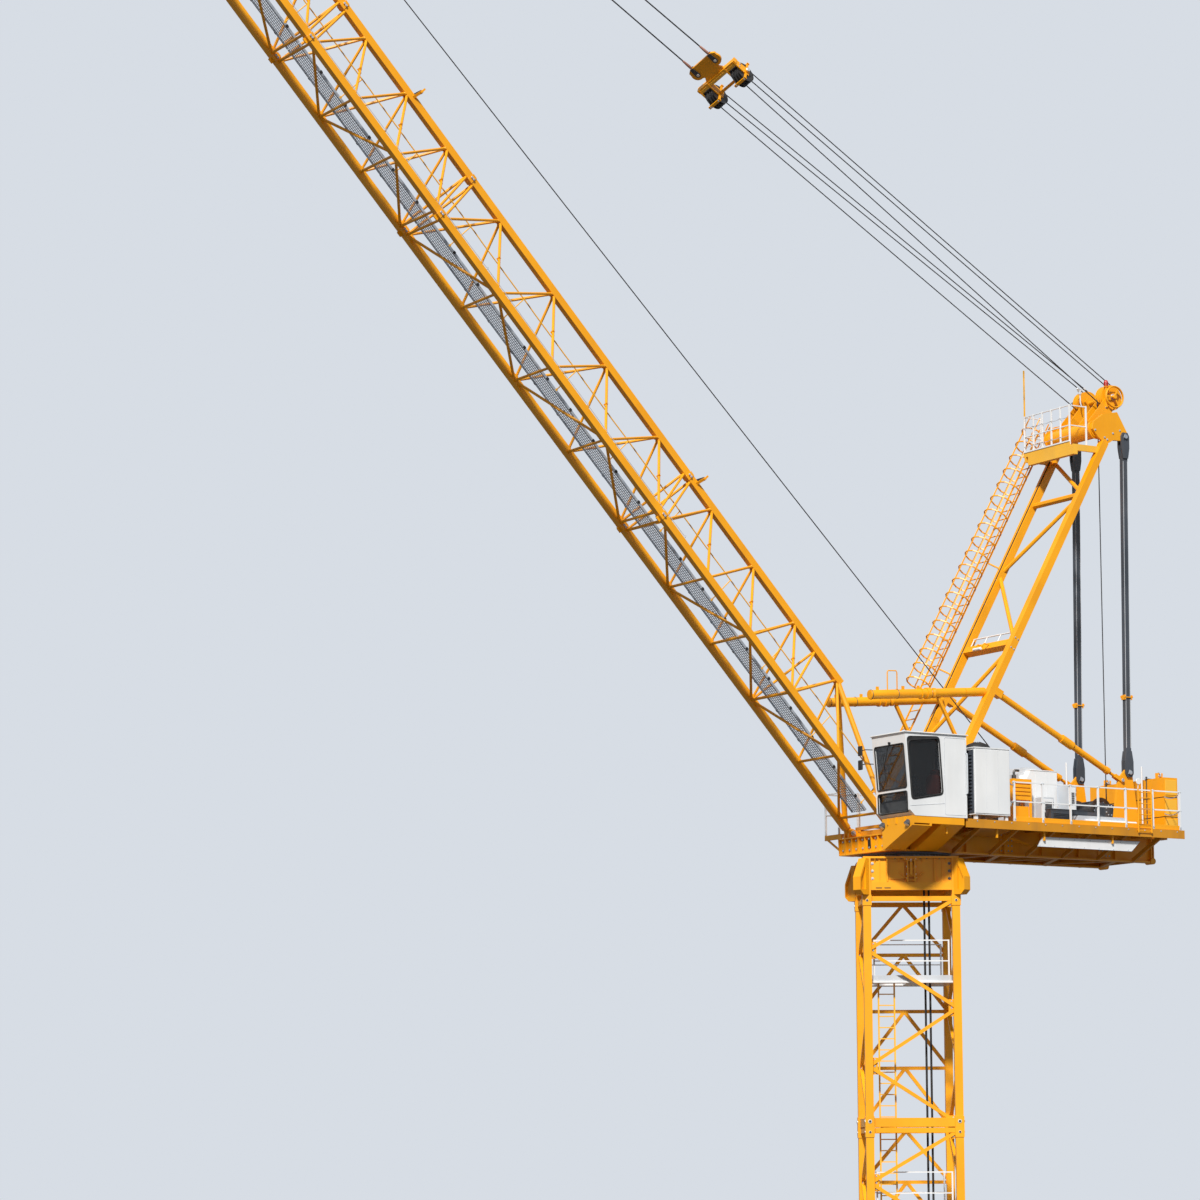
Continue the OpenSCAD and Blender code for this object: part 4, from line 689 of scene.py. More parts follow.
def cabinet_details():
    x0, x1, y0, y1, z0, z1 = -760, -205, 640, 1200, DECK + 60, DECK + 900
    seams = Piece("cabinet_seams", GREY)
    skin = Piece("cabinet_doors", WHITE)
    skin.box((x0 + 8, y1, z0 + 16), (x1 - 8, y1 + 7, z1 - 14), 3)
    for i in (1, 2):
        seams.tube([(x0 + 5 + i * 184, y1 + 7, z0 + 24), (x0 + 5 + i * 184, y1 + 7, z1 - 22)], 1.6, 6)
    for i in range(3):
        skin.box((x0 + 10 + i * 180, y0 - 7, z0 + 60), (x0 + 182 + i * 180, y0, z1 - 20), 3)
    dark = Piece("cabinet_vent_side", DARK)
    dark.box((x1, y0 + 20, z0 + 20), (x1 + 8, y1 - 14, z1 - 20), 3)
    dark.louvres((x1 + 8, y0 + 50, z0 + 60), (x1 + 8, y1 - 40, z1 - 60), 16, 14, X)
    hardware = Piece("cabinet_handles", STEEL)
    for i in range(3):
        x = x0 + 160 + i * 180
        hardware.beam((x, y0 - 15, z0 + 380), (x, y0 - 15, z0 + 480), 14, 10, Y)
        hardware.rod((x, y0 - 5, z0 + 400), (x, y0 - 17, z0 + 400), 8, 10)
        for z in (z0 + 100, z0 + 740):
            hardware.rod((x - 142, y0 - 11, z - 24), (x - 142, y0 - 11, z + 24), 6, 8)
    dome = Piece("cabinet_dome", RUBBER)
    dome.spin([(160, 0), (166, 6), (160, 16), (148, 34), (120, 56), (80, 72), (30, 80), (2, 81)],
              (-400, 1010, DECK + 914), Z, 28)
    for i in range(12):
        a = math.radians(i * 30)
        dome.beam((-400 + 150 * math.cos(a), 1010 + 150 * math.sin(a), DECK + 946),
                  (-400 + 40 * math.cos(a), 1010 + 40 * math.sin(a), DECK + 998), 5, 8)
    cables = Piece("cabinet_cables", RUBBER)
    for i in range(4):
        x = x0 + 80 + i * 60
        cables.tube([(x, y0 - 2, z0 + 30), (x, y0 - 30, z0 + 26), (x, y0 - 44, z0), (x, y0 - 46, DECK + 8)], 9, 8)
        cables.rod((x, y0, z0 + 30), (x, y0 - 16, z0 + 30), 14, 10)
    finish(skin, seams, dark, hardware, dome, cables)


def hood_details():
    skin = Piece("hood_doors", WHITE)
    dark = Piece("hood_grilles", RUBBER)
    lugs = Piece("hood_handles", STEEL)
    z = DECK
    doors = ((-1740, -1440, 500, 700, 1), (-1790, -1600, 780, 380, 1), (-2110, -1970, 840, 540, 1),
             (-1180, -820, -960, 820, -1), (-1750, -1250, -900, 620, -1))
    for x0, x1, face, top, s in doors:
        door, lug = face + s * 7, face + s * 16
        skin.box((x0 + 14, face, z + 30), (x1 - 14, door, z + top - 24), 3)
        dark.louvres((x0 + 40, door, z + top * 0.55), (x1 - 40, door, z + top * 0.85), 7, 10, Y * s)
        lugs.beam((x1 - 34, lug, z + top * 0.34), (x1 - 34, lug, z + top * 0.48), 10, 8, Y)
        for h in (0.12, 0.8):
            hinge = Vector((x0 + 12, face + s * 9, z + top * h))
            lugs.rod(hinge - Z * 16, hinge + Z * 16, 5, 8)
    for x, y in ((-1700, 120), (-1480, 120)):
        lugs.tube(arc((x, y, z + 780), X, Z, 24, 0, 180, 8), 5, 6)
    cover = Piece("hood_cover", WHITE)
    low, high, top = z + 12, z + 560, z + 740
    profile = ((-1460, low), (-1460, high), (-1560, top), (-1990, top), (-1990, low))
    cover.loft([[(x, y, h) for x, h in profile] for y in (600, 330)])
    for x in (-1640, -1815):
        cover.box((x - 1.5, 599, low + 30), (x + 1.5, 602.5, top - 30), 0.4)
    cover.box((-1996, 324, top - 2), (-1556, 606, top + 10), 3)
    fan = Piece("generator_fan_guard", GREY)
    centre = Vector((-1450, 660, z + 465))
    for r in (30, 55, 80, 102):
        fan.tube(circle(centre - X * 8, Y, Z, r, 24), 2.5, 5, True)
    for i in range(6):
        a = math.pi * i / 6
        d = Y * math.cos(a) + Z * math.sin(a)
        fan.tube([centre - X * 8 - d * 104, centre - X * 8 + d * 104], 3, 5)
    dark.rod(centre, centre - X * 4, 98, 28)
    pipe = Piece("exhaust_pipe", STEEL)
    pipe.tube([(-1260, 640, z + 598), (-1260, 640, z + 690)] + arc((-1290, 640, z + 690), X, Z, 30, 0, 90, 6)
              + [(-1340, 640, z + 720)], 16, 12)
    pipe.rod((-1260, 640, z + 600), (-1260, 640, z + 660), 30, 16, 5)
    finish(skin, dark, lugs, cover, fan, pipe)


HOIST_X, LUFF_X, WINCH_Z = -1950, -2990, 700
DRUM_R = 137.3  # to the middle of the rope on a drum


def winch_details():
    z = WINCH_Z
    for x, body, tag in ((HOIST_X, "hoist_drum", "hoist"), (LUFF_X, "luffing_drum", "luffing")):
        coil = Piece(tag + "_drum_rope", ROPE, body)
        turns, steps = 30, 28
        coil.tube([(x + 136 * math.cos(2 * math.pi * i / steps), -222 + 444 * i / (turns * steps),
                    z + 136 * math.sin(2 * math.pi * i / steps)) for i in range(turns * steps + 1)], 7, 6, lay=90)
        heads = Piece(tag + "_drum_bolts", GALVANISED, body)
        for s in BOTH:
            heads.bolt_circle((x, s * 258, z), X, Z, 110, 10, Y * s, 8)
        frame_bolts = Piece(tag + "_winch_bolts", GALVANISED)
        for s in BOTH:
            frame_bolts.bolt_circle((x, s * 295, z), X, Z, 60, 6, Y * s, 7)
            for d in (-150, 150):
                for y in (-200, 0, 200):
                    frame_bolts.bolt((x + d, y, DECK + 40), Z, 8)
        finish(coil, heads, frame_bolts)
    motor = Piece("hoist_motor_fins", DARK)
    for i in range(15):
        y = -500 - i * 14
        motor.tube(circle(Vector((-1930, y, z - 40)), X, Z, 89, 24), 4, 5, True)
    motor.rod((-1930, -733, z - 40), (-1930, -756, z - 40), 80, 24, 10)
    luff = Piece("luffing_motor_fins", DARK)
    for i in range(12):
        luff.tube(circle(Vector((-3110 - i * 18, 378, z - 20)), Y, Z, 63, 20), 3.5, 5, True)
    luff.rod((-3388, 378, z - 20), (-3410, 378, z - 20), 58, 20, 8)
    gears = Piece("gearbox_bolts", GALVANISED)
    gears.bolt_circle((HOIST_X, -470, z - 20), X, Z, 96, 8, -Y, 8, 22)
    gears.bolt_circle((LUFF_X, 440, z - 10), X, Z, 66, 8, Y, 7, 22)
    box = Piece("flat_box_lid", DARK)
    box.box((-2206, 840, DECK + 208), (-1594, 960, DECK + 218), 3)
    box.louvres((-2160, 955, DECK + 50), (-1640, 955, DECK + 170), 6, 10, Y)
    finish(motor, luff, gears, box)


def ballast_details():
    top = GIRDER_TOP + 780
    shackles = Piece("ballast_shackles", GALVANISED)
    for y in (-538, 538):
        shackles.tube(arc((-3750, y, top + 50), Y, Z, 36, -20, 200, 10), 9, 8)
        shackles.rod((-3750, y - 42, top + 38), (-3750, y + 42, top + 38), 10, 10)
    rods = Piece("ballast_tie_rods", STEEL)
    for y in (-420, 420):
        for x in (-3640, -3860):
            side = 1 if x > -3700 else -1
            rods.rod((x + side * 8, y, GIRDER_TOP - 10), (x + side * 8, y, top + 26), 8, 10)
            rods.bolt((x + side * 8, y, top + 26), Z, 12)
        rods.beam((-3880, y, top + 8), (-3620, y, top + 8), 44, 12)
    marks = Piece("ballast_corner_plates", YELLOW_PALE)
    for s in BOTH:
        for i in range(3):
            z = GIRDER_TOP + 30 + i * 260
            marks.box((-3655, s * 768, z), (-3845, s * 774, z + 200), 3)
    seams = Piece("ballast_seams", RUBBER)
    for i in (1, 2):
        z = GIRDER_TOP + 260 * i
        for s in BOTH:
            seams.box((-3862, s * 762, z - 4), (-3638, s * 767.5, z + 4), 0.5)
        seams.box((-3862, -762, z - 4), (-3638, 762, z + 4), 0.5)
    posts = Piece("rear_posts", WHITE)
    for x, height in ((-3249, 1071), (-3545, 901), (-2283, 886)):
        base = Vector((x, 430, DECK))
        posts.tube([base, base + Z * height], 11, 8)
        posts.box(base - X * 30 - Y * 30, base + X * 30 + Y * 30 + Z * 10, 2)
        posts.dome(base + Z * height, Z, 12, 8, 8, 3)
    finish(shackles, rods, marks, seams, posts)


# Cab

CAB = UPPER @ shift(-65, 515, DECK)
CAB_FLOOR = CAB @ shift(0, 0, 20)
CAB_W, CAB_H = 710, 1035


def cab_nose(z):
    """How far the cab's front stands out at a height over its floor."""
    if z < 70:
        return 805 + 80 * z / 70
    return 885 + (z - 70) / 30 if z < 370 else 895 + 55 * (z - 370) / 665


def on_nose(y, z, out):
    """A point at y and z that stands out from the cab's front."""
    return cab_nose(z) + out, y, z


def cushion(name, middle, size):
    """A padded block with crowned faces and soft edges."""
    piece = Piece(name, SEAT, place=CAB_FLOOR)
    power, crown, rows, cols = 0.36, 0.12, 14, 28

    def bend(value):
        return math.copysign(abs(value) ** power, value)

    def point(a, b):
        reach = bend(math.cos(a))
        return Vector(middle) + Vector((size[0] * reach * bend(math.cos(b)),
                                        size[1] * reach * bend(math.sin(b)),
                                        size[2] * (bend(math.sin(a)) + crown * math.cos(b / 2) ** 2)))

    piece.loft([[point(-math.pi / 2 + math.pi * i / rows, 2 * math.pi * k / cols) for k in range(cols)]
                for i in range(rows + 1)])
    piece.done()


def cab_windows():
    seals = Piece("window_seals", RUBBER, place=CAB)
    side = rounded([(375, 290), (846, 207), (905, 935), (425, 985)], 60)
    for y in (-2, CAB_W + 2):
        seals.tube([(p.x, y, p.y) for p in side], 9, 8, True)
    wide = rounded([(364, 276), (862, 190), (925, 990), (416, 1010)], 60)
    tight = rounded([(380, 296), (838, 214), (898, 928), (430, 978)], 60)
    surround = ((wide, 0), (wide, 4), (tight, 4), (tight, 0))
    for s in BOTH:
        y = CAB_W + 1 if s > 0 else -1
        seals.loft([[(p.x, y + s * d, p.y) for p in edge] for edge, d in surround[::-s]], True)
    for z0, z1 in ((352, 900), (52, 305)):
        rim = rounded([(45, z0), (CAB_W - 45, z0), (CAB_W - 45, z1), (45, z1)], 34)
        seals.tube([on_nose(p.x, p.y, 2) for p in rim], 9, 8, True)
    rim = rounded([(90, 518), (CAB_W - 90, 518), (CAB_W - 90, 935), (90, 935)], 34)
    seals.tube([(-2, p.x, p.y) for p in rim], 8, 8, True)
    wiper = Piece("wiper", RUBBER, place=CAB)
    wiper.rod(on_nose(380, 925, -4), on_nose(380, 925, 24), 16, 12)
    wiper.tube([on_nose(380, 925, 18), on_nose(250, 640, 22), on_nose(235, 600, 12)], 5, 6)
    wiper.beam(on_nose(225, 800, 9), on_nose(250, 440, 9), 9, 10, Y)
    seams = Piece("cab_panel_seams", GREY, place=CAB)
    panel = rounded([(22, 30), (345, 30), (345, 1000), (22, 1000)], 24)
    for y in (-1, CAB_W + 1):
        seams.tube([(p.x, y, p.y) for p in panel], 2.5, 6, True)
        seams.tube([(345, y, 170), (880, y, 120)], 2.5, 6)
    finish(seals, wiper, seams)


def cab_fittings():
    trim = Piece("cab_roof_trim", WHITE, place=CAB)
    top = CAB_H + 16
    for y in (100, 220, 355, 490, 610):
        trim.beam((20, y, top + 4), (930, y, top + 4), 26, 10)
    low, high = top - 8, CAB_W + 14
    trim.tube([(-14, -2, low), (966, -2, low), (966, high, low), (-14, high, low)], 7, 8, True)
    rails = Piece("cab_grab_rails", GREY, place=CAB)
    bow = ((1, 300), (26, 312), (30, 340), (30, 780), (26, 808), (1, 820))
    for x, y, s in ((10, CAB_W, 1), (300, 0, -1), (10, 0, -1)):
        rails.tube([(x, y + s * out, z) for out, z in bow], 8, 8)
    mirrors = Piece("cab_mirrors", RUBBER, place=CAB)
    glassy = Piece("mirror_faces", PIN, place=CAB)
    for z in (880, 700):
        mirrors.tube([(900, 0, z), (985, -90, z + 8), (1000, -150, z)], 6, 8)
        mirrors.box((990, -222, z - 62), (1010, -138, z + 62), 8)
        glassy.box((987, -216, z - 56), (991, -144, z + 56), 1)
    lamps = Piece("work_lamps", DARK, place=CAB)
    lenses = Piece("lamp_lenses", PIN, place=CAB)
    d = Vector((0.6, 0, -0.8))
    for y in (90, 620):
        p = Vector((840, y, -60))
        lamps.rod(p, p + d * 60, 34, 18, 5, 44)
        lamps.beam(p + Z * 62, p, 30, 8, X)
        lenses.dome(p + d * 59, d, 38, 8, 18, 3)
    finish(trim, rails, mirrors, glassy, lamps, lenses)


def cab_inside():
    body = Piece("seat_frame", RUBBER, place=CAB_FLOOR)
    body.box((290, 245, 0), (520, 465, 30), 8)
    body.rod((405, 355, 30), (405, 355, 150), 44, 18, 6, 36)
    for i in range(4):
        body.tube(circle(Vector((405, 355, 50 + i * 26)), X, Y, 50, 20), 8, 6, True)
    body.box((280, 235, 150), (540, 475, 172), 8)
    body.beam((290, 355, 165), (240, 355, 400), 120, 16, X)
    for y in (195, 515):
        body.box((340, y - 45, 236), (640, y + 45, 276), 14)
        body.beam((400, y, 160), (400, y, 240), 30, 50, X)
        body.rod((590, y, 274), (596, y, 330), 9, 10)
        body.dome((596, y, 326), Z, 20, 26, 14, 5)
        body.box((500, y - 24, 274), (560, y + 24, 290), 6)
    screen = Piece("cab_display", DARK, place=CAB_FLOOR)
    screen.box((740, 520, 360), (762, 680, 480), 8)
    screen.beam((751, 600, 30), (751, 600, 370), 24, 24, X)
    screen.box((120, 60, 0), (250, 640, 240), 16)
    finish(body, screen)
    cushion("seat_cushion", (420, 355, 208), (135, 125, 34))
    cushion("seat_backrest", (258, 355, 380), (40, 122, 150))
    cushion("seat_headrest", (232, 355, 568), (28, 70, 42))


# A-frame

FRAME_Y = 509
FRAME_L = 5905
HEAD_X, HEAD_Z = 58.6, FRAME_L + 746  # the head sheaves' axle, in the leaning frame
WHEEL = Vector((HEAD_X, 366, HEAD_Z))


def frame_details():
    bolts = Piece("frame_bolts", GALVANISED, place=LEAN)
    caps = Piece("frame_pin_heads", GALVANISED, place=LEAN)
    rail = Piece("cross_beam_rail", WHITE, place=LEAN)
    rail.tube([(0, -440, 2876), (0, 440, 2876)], 10)
    for y in (-430, -145, 145, 430):
        rail.tube([(0, y, 2720), (0, y, 2876)], 8)
    stirrup = Piece("cross_beam_stirrup", YELLOW, place=LEAN)
    for y in (-70, 70):
        stirrup.tube([(40, y, 2690), (130, y, 2660), (150, y, 2600), (150, y, 2560)], 9)
    rail.rod((150, -80, 2565), (150, 80, 2565), 20, 16, 4)
    for s in BOTH:
        for y in (FRAME_Y - 49, FRAME_Y + 49):
            side = 1 if y > FRAME_Y else -1
            for u in (190, 250):
                for v in (-24, 24):
                    bolts.bolt((v, s * y, u), Y * s * side, 9)
        for u in (2600, 2750):
            for v in (-25, 25):
                bolts.bolt((v, s * (FRAME_Y + 50), u), Y * s, 8)
        caps.rod((HEAD_X, s * 338, HEAD_Z), (HEAD_X, s * 356, HEAD_Z), 44, 20, 5)
        for v, u in ((-20, 60), (30, 60), (-60, 190), (-140, 290), (210, 60)):
            bolts.bolt((v, s * (FRAME_Y + 20), FRAME_L + u), Y * s, 10)
        for d in (155, 325):
            for u, v in ((180, 200), (380, 120), (560, 90)):
                bolts.bolt((v, s * (d + 8), FRAME_L + u), Y * s, 9)
    cable = Piece("frame_cable", RUBBER, place=LEAN)
    clips = Piece("frame_cable_clips", GALVANISED, place=LEAN)
    cable.tube([(57, -FRAME_Y + 22, 200 + 95 * i) for i in range(61)], 7, 8)
    for i in range(15):
        clips.tube(arc((50, -FRAME_Y + 22, 300 + 390 * i), X, Y, 11, -90, 90, 6), 3, 6)
    finish(bolts, caps, rail, stirrup, cable, clips)


def spoked_wheel():
    wheel = Piece("spoked_wheel", YELLOW, place=LEAN)
    for y in (0, 14):
        wheel.tube(circle(WHEEL + Y * y, X, Z, 142, 32), 10, 8, True)
    for i in range(3):
        a = math.radians(90 + 120 * i)
        d = X * math.cos(a) + Z * math.sin(a)
        wheel.beam(WHEEL + Y * 7 + d * 20, WHEEL + Y * 7 + d * 140, 22, 10, Y)
    wheel.rod(WHEEL - Y * 10, WHEEL + Y * 26, 30, 18, 4)
    wheel.done()


def head_fittings():
    base = Piece("beacon_base", YELLOW)
    spot = (UPPER.inverted() @ LEAN @ (WHEEL * MM)) / MM + Vector((112, -30, 0))
    base.box(spot - Vector((16, 16, 150)), spot + Vector((16, 16, 130)), 3)
    base.rod(spot + Z * 128, spot + Z * 142, 30, 16, 3)
    lamp = Piece("red_beacon", RED)
    lamp.spin([(28, 0), (31, 8), (30, 50), (24, 72), (10, 84), (1, 86)], spot + Z * 140, Z, 20)
    for i in range(5):
        lamp.tube(circle(spot + Z * (150 + i * 9), X, Y, 31, 20), 2, 5, True)
    vane = Piece("anemometer", WHITE)
    vane.tube([(-3062, -60, 6190), (-3042, -60, 6250), (-3042, -60, 6420)], 9)
    vane.rod((-3042, -60, 6350), (-3042, -60, 6410), 18, 14, 5)
    for i in range(3):
        a = math.radians(120 * i + 20)
        d = X * math.cos(a) + Y * math.sin(a)
        p = Vector((-3042, -60, 6424))
        vane.tube([p, p + d * 52], 4, 6)
        vane.dome(p + d * 56 + d.cross(Z) * 8, -d.cross(Z), 20, 20, 12, 4)
    socket = Piece("rope_socket", DARK)
    d = (STAY.to_3x3() @ X).normalized()
    p = Vector((-3190, -325, 6250))
    socket.rod(p - d * 30, p + d * 90, 24, 14, 5, 16)
    socket.rod(p + Y * 30, p - Y * 30, 15, 12, 3)
    strip = Piece("platform_white_strip", WHITE)
    strip.box((-2442, -536, 5568), (-2432, 446, 5588), 2)
    white = Piece("platform_rail_posts", WHITE)
    low, high = 5512, 6072
    x0, x1, y0, y1 = -2730, -2452, -528, 438
    for x, y in [(x1, y0 + 193.2 * i) for i in range(6)] + [(x0, y0), (x0, y1)]:
        white.box((x - 11, y - 11, low + 18), (x + 11, y + 11, high), 3)
    for h in (5790, 6060):
        line = [Vector((x, y, h)) for x, y in ((x0, y0), (x1, y0), (x1, y1), (x0, y1))]
        for p, q in zip(line, line[1:]):
            white.beam(p, q, 14.4, 14.4)
    wires = Piece("platform_rail_wires", GREY)
    for h in (150, 400):
        wires.tube([q for i in range(5) for q in sag((-2440, -525 + 194 * i, 5510 + h),
                                                     (-2440, -331 + 194 * i, 5510 + h), 16, 8)[:8]], 4, 6)
    treads = Piece("head_platform_grip", GALVANISED)
    for i in range(32):
        y = -525 + i * 31
        treads.beam((-2805, y, 5528), (-2450, y, 5528), 5, 4)
    finish(base, lamp, vane, socket, strip, white, wires, treads)


def tie_details():
    top, foot = Vector((-3299, 0, 5695)), Vector((-3245, 0, 1190))
    pins = Piece("tie_pin_heads", GALVANISED)
    edges = Piece("tie_bar_edges", GREY)
    clamps = Piece("tie_bar_clamps", YELLOW)
    for s in BOTH:
        for p in (top, foot):
            for side in (-62, 62):
                q = p + Y * (s * FRAME_Y + side)
                pins.rod(q - Y * 6, q + Y * 6, 28, 20, 4)
                out = math.copysign(8, side)
                pins.tube([q + Vector((44, out, -20)), q + Vector((20, out, 36))], 4, 6)
        a, b = top + Y * (s * FRAME_Y) - Z * 330, foot + Y * (s * FRAME_Y) + Z * 330
        for dx in (-36, 36):
            for dy in (31, -31):
                corner = X * dx + Y * dy
                edges.beam(a + corner, b + corner, 5, 9, Y)
        m = foot + Y * (s * FRAME_Y) + Z * 1002 - X * 12
        for dx in (-52, 52):
            clamps.box(m + Vector((dx - 7, -44, -32)), m + Vector((dx + 7, 44, 32)), 3)
        for dy in (-40, 40):
            clamps.rod(m + Vector((-70, dy, 0)), m + Vector((70, dy, 0)), 7, 8)
            for dx in (-59, 59):
                clamps.bolt(m + Vector((dx, dy, 14)), X * (1 if dx > 0 else -1), 9)
    nuts = Piece("strut_pin_nuts", GALVANISED)
    for s in BOTH:
        for y in (FRAME_Y - 48, FRAME_Y + 48):
            side = 1 if y > FRAME_Y else -1
            nuts.rod((-3125, s * (y - 4), 1085), (-3125, s * (y + side * 5), 1085), 24, 16, 3)
    finish(pins, edges, clamps, nuts)


def backstop_details():
    buffer_y = 460
    a, b = Vector((865, buffer_y, 1978)), Vector((-940, buffer_y, 2128))
    d = (b - a).normalized()
    pads = Piece("backstop_buffers", YELLOW)
    rails = Piece("backstop_hoops", YELLOW)
    bands = Piece("backstop_bands", STEEL)
    for s in BOTH:
        flip = Vector((1, s, 1))
        pads.rod((a + d * 2) * flip, (a - d * 3) * flip, 50, 24, 2)
        for e in (16, 420, 905):
            bands.tube([q * flip for q in circle(a + d * e, *across(d), 61, 24)], 4, 6, True)
        rails.rod((a + d * 975) * flip, (a + d * 1489) * flip, 59, 28, 5)
        rails.rod((a + d * 985) * flip, (a + d * 1025) * flip, 68, 28, 4)
        for e in (940, 950, 960):
            bands.tube([q * flip for q in circle(a + d * e, *across(d), 47, 20)], 3.5, 6, True)
    hoop = ((589, 2055), (589, 2280), (575, 2305), (452, 2311), (438, 2287), (438, 2061))
    rails.tube([(x, buffer_y, z) for x, z in hoop], 8, 8)
    finish(pads, rails, bands)


# Jib

JIB_JOINTS = (5035, 9635, 12225, 16825)
JIB_SPANS = ((2225, 4970, 3), (5100, 9570, 4), (9700, 12160, 3), (12290, 16760, 4), (16890, 21630, 4))
CHORD_Y, CHORD_H = 459, 926


def jib_lattice_detail():
    welds = Piece("jib_weld_collars", YELLOW, "jib")

    def weld(p, q):
        p, q = Vector(p), Vector(q)
        d = (q - p).normalized()
        for e, s in ((p, 1), (q, -1)):
            welds.rod(e + d * s * 52, e + d * s * 72, 23, 10, 5)
    for s0, s1, n in JIB_SPANS:
        bay = (s1 - s0) / n
        for i in range(n):
            s = s0 + i * bay
            for d in BOTH:
                weld((s, d * CHORD_Y, 0), (s + bay / 2, 0, CHORD_H))
                weld((s + bay / 2, 0, CHORD_H), (s + bay, d * CHORD_Y, 0))
            side = 1 if i % 2 == 0 else -1
            weld((s, -side * CHORD_Y, 0), (s + bay, side * CHORD_Y, 0))
            weld((s, -CHORD_Y, 0), (s, CHORD_Y, 0))
    pins = Piece("jib_joint_pins", GALVANISED, "jib")
    nuts = Piece("jib_joint_bolts", GALVANISED, "jib")
    for s in JIB_JOINTS:
        for y, h in ((-CHORD_Y, 0), (CHORD_Y, 0), (0, CHORD_H)):
            for ds in (-17, 17):
                for d in BOTH:
                    pins.rod((s + ds, y + d * 60, h), (s + ds, y + d * 69, h), 15, 14, 3)
            for dh in (-38, 38):
                for ds, dy in CORNERS:
                    nuts.bolt((s + ds * 34, y + dy * 38, h + dh), X * ds, 7)
    for d in BOTH:
        pins.rod((21690, d * 188, 905), (21690, d * 200, 905), 26, 18, 4)
        pins.rod((22250, d * 78, -20), (22250, d * 90, -20), 30, 18, 4)
        pins.rod((21700, d * 54, 1126), (21700, d * 64, 1126), 28, 18, 4)
    finish(welds, pins, nuts)


def jib_walkway():
    mesh = Piece("jib_walkway_grating", GALVANISED, "jib")
    clips = Piece("jib_walkway_clips", RUBBER, "jib")
    spans = list(zip((300,) + JIB_JOINTS, JIB_JOINTS + (21390,)))
    for s0, s1 in spans:
        s0, s1 = s0 + 4, s1 - 4
        for y in (-146, 146):
            mesh.beam((s0, y, 32.8), (s1, y, 32.8), 8, 30)
        for i in range(7):
            mesh.beam((s0, -120 + 40 * i, 23.8), (s1, -120 + 40 * i, 23.8), 4, 12)
        count = round((s1 - s0) / 34)
        for i in range(count + 1):
            s = s0 + 2 + (s1 - s0 - 4) * i / count
            mesh.beam((s, -142, 24.8), (s, 142, 24.8), 4, 9)
        for i in range(int((s1 - s0) / 480)):
            for y in (-152, 152):
                clips.box((s0 + 240 + 480 * i - 18, y - 6, 16), (s0 + 240 + 480 * i + 18, y + 6, 52), 3)
    obj = mesh.done()
    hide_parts("jib_walkway")
    clips.done()


def jib_lines():
    rail = Piece("jib_handrail", YELLOW_PALE, "jib")
    rail.tube([(300 + 210.9 * i, 125, 450 + (4 if i % 5 == 2 else 0)) for i in range(101)], 8, 8)
    for i in range(20):
        s = 420 + 1100 * i
        rail.tube([(s, 146, 30), (s, 128, 440)], 7, 8)
        rail.box((s - 14, 138, 28), (s + 14, 152, 60), 2)
    cable = Piece("jib_cable", RUBBER, "jib")
    cable.tube([(300 + 210.9 * i, 132, 240) for i in range(101)], 7, 6)
    cable.tube([(300 + 105.5 * i, CHORD_Y - 58 - 5 * math.sin(i * 1.3), 30 + 4 * math.cos(i * 0.9))
                for i in range(204)], 8, 8)
    clips = Piece("jib_cable_clips", GALVANISED, "jib")
    for i in range(36):
        clips.box((360 + 590 * i - 10, CHORD_Y - 72, 20), (360 + 590 * i + 10, CHORD_Y - 44, 42), 3)
    life = Piece("jib_lifeline", GREY, "jib")
    life.tube([(500 + 206.5 * i, CHORD_Y, 90 - 8 * math.sin(math.pi * (i % 10) / 10)) for i in range(20, 101)], 4, 6)
    for i in range(2, 11):
        s = 500 + 2065 * i
        life.tube([(s, CHORD_Y, 44), (s, CHORD_Y, 96)], 6, 6)
        life.tube(arc((s, CHORD_Y, 96), X, Z, 12, 0, 360, 10), 3, 5)
    brackets = Piece("jib_brackets", YELLOW, "jib")
    for s0, s1, n in JIB_SPANS:
        bay = (s1 - s0) / n
        for i in range(n):
            for d in BOTH:
                p = Vector((s0 + (i + 0.22) * bay, d * CHORD_Y * 0.56, CHORD_H * 0.44))
                brackets.beam(p - Vector((26, 0, 0)), p + Vector((26, 0, 0)), 46, 6, (0, d, 1))
                brackets.beam(p + Vector((26, -20, 0)), p + Vector((26, 20, 34)), 8, 30, X)
    rollers = Piece("jib_rope_rollers", RUBBER, "jib")
    for s in (4900, 10850):
        rollers.rod((s, -138, CHORD_H + 89), (s, 138, CHORD_H + 89), 24, 20, 5)
    tip = Piece("jib_tip_lamp", RED, "jib")
    tip.dome((21600, 0, CHORD_H + 44), Z, 26, 50, 16, 6)
    finish(rail, cable, clips, life, brackets, rollers, tip)


# Ropes, floating block and hook

HEAD_R, BLOCK_R, TIP_R = 153.3, 126.3, 131.3  # to the middle of the rope on a sheave


def rope_piece(name, body, place, lines, replaces=None, blend=None, radius=7.0):
    piece = Piece(name, ROPE, body, place)
    for points in lines:
        piece.tube(points, radius, 8, lay=90)
    obj = piece.done()
    if replaces:
        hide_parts(*replaces)
    if blend:
        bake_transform(obj)
    return obj


def straight(p, q, count=24):
    p, q = Vector(p), Vector(q)
    return [p.lerp(q, i / count) for i in range(count + 1)]


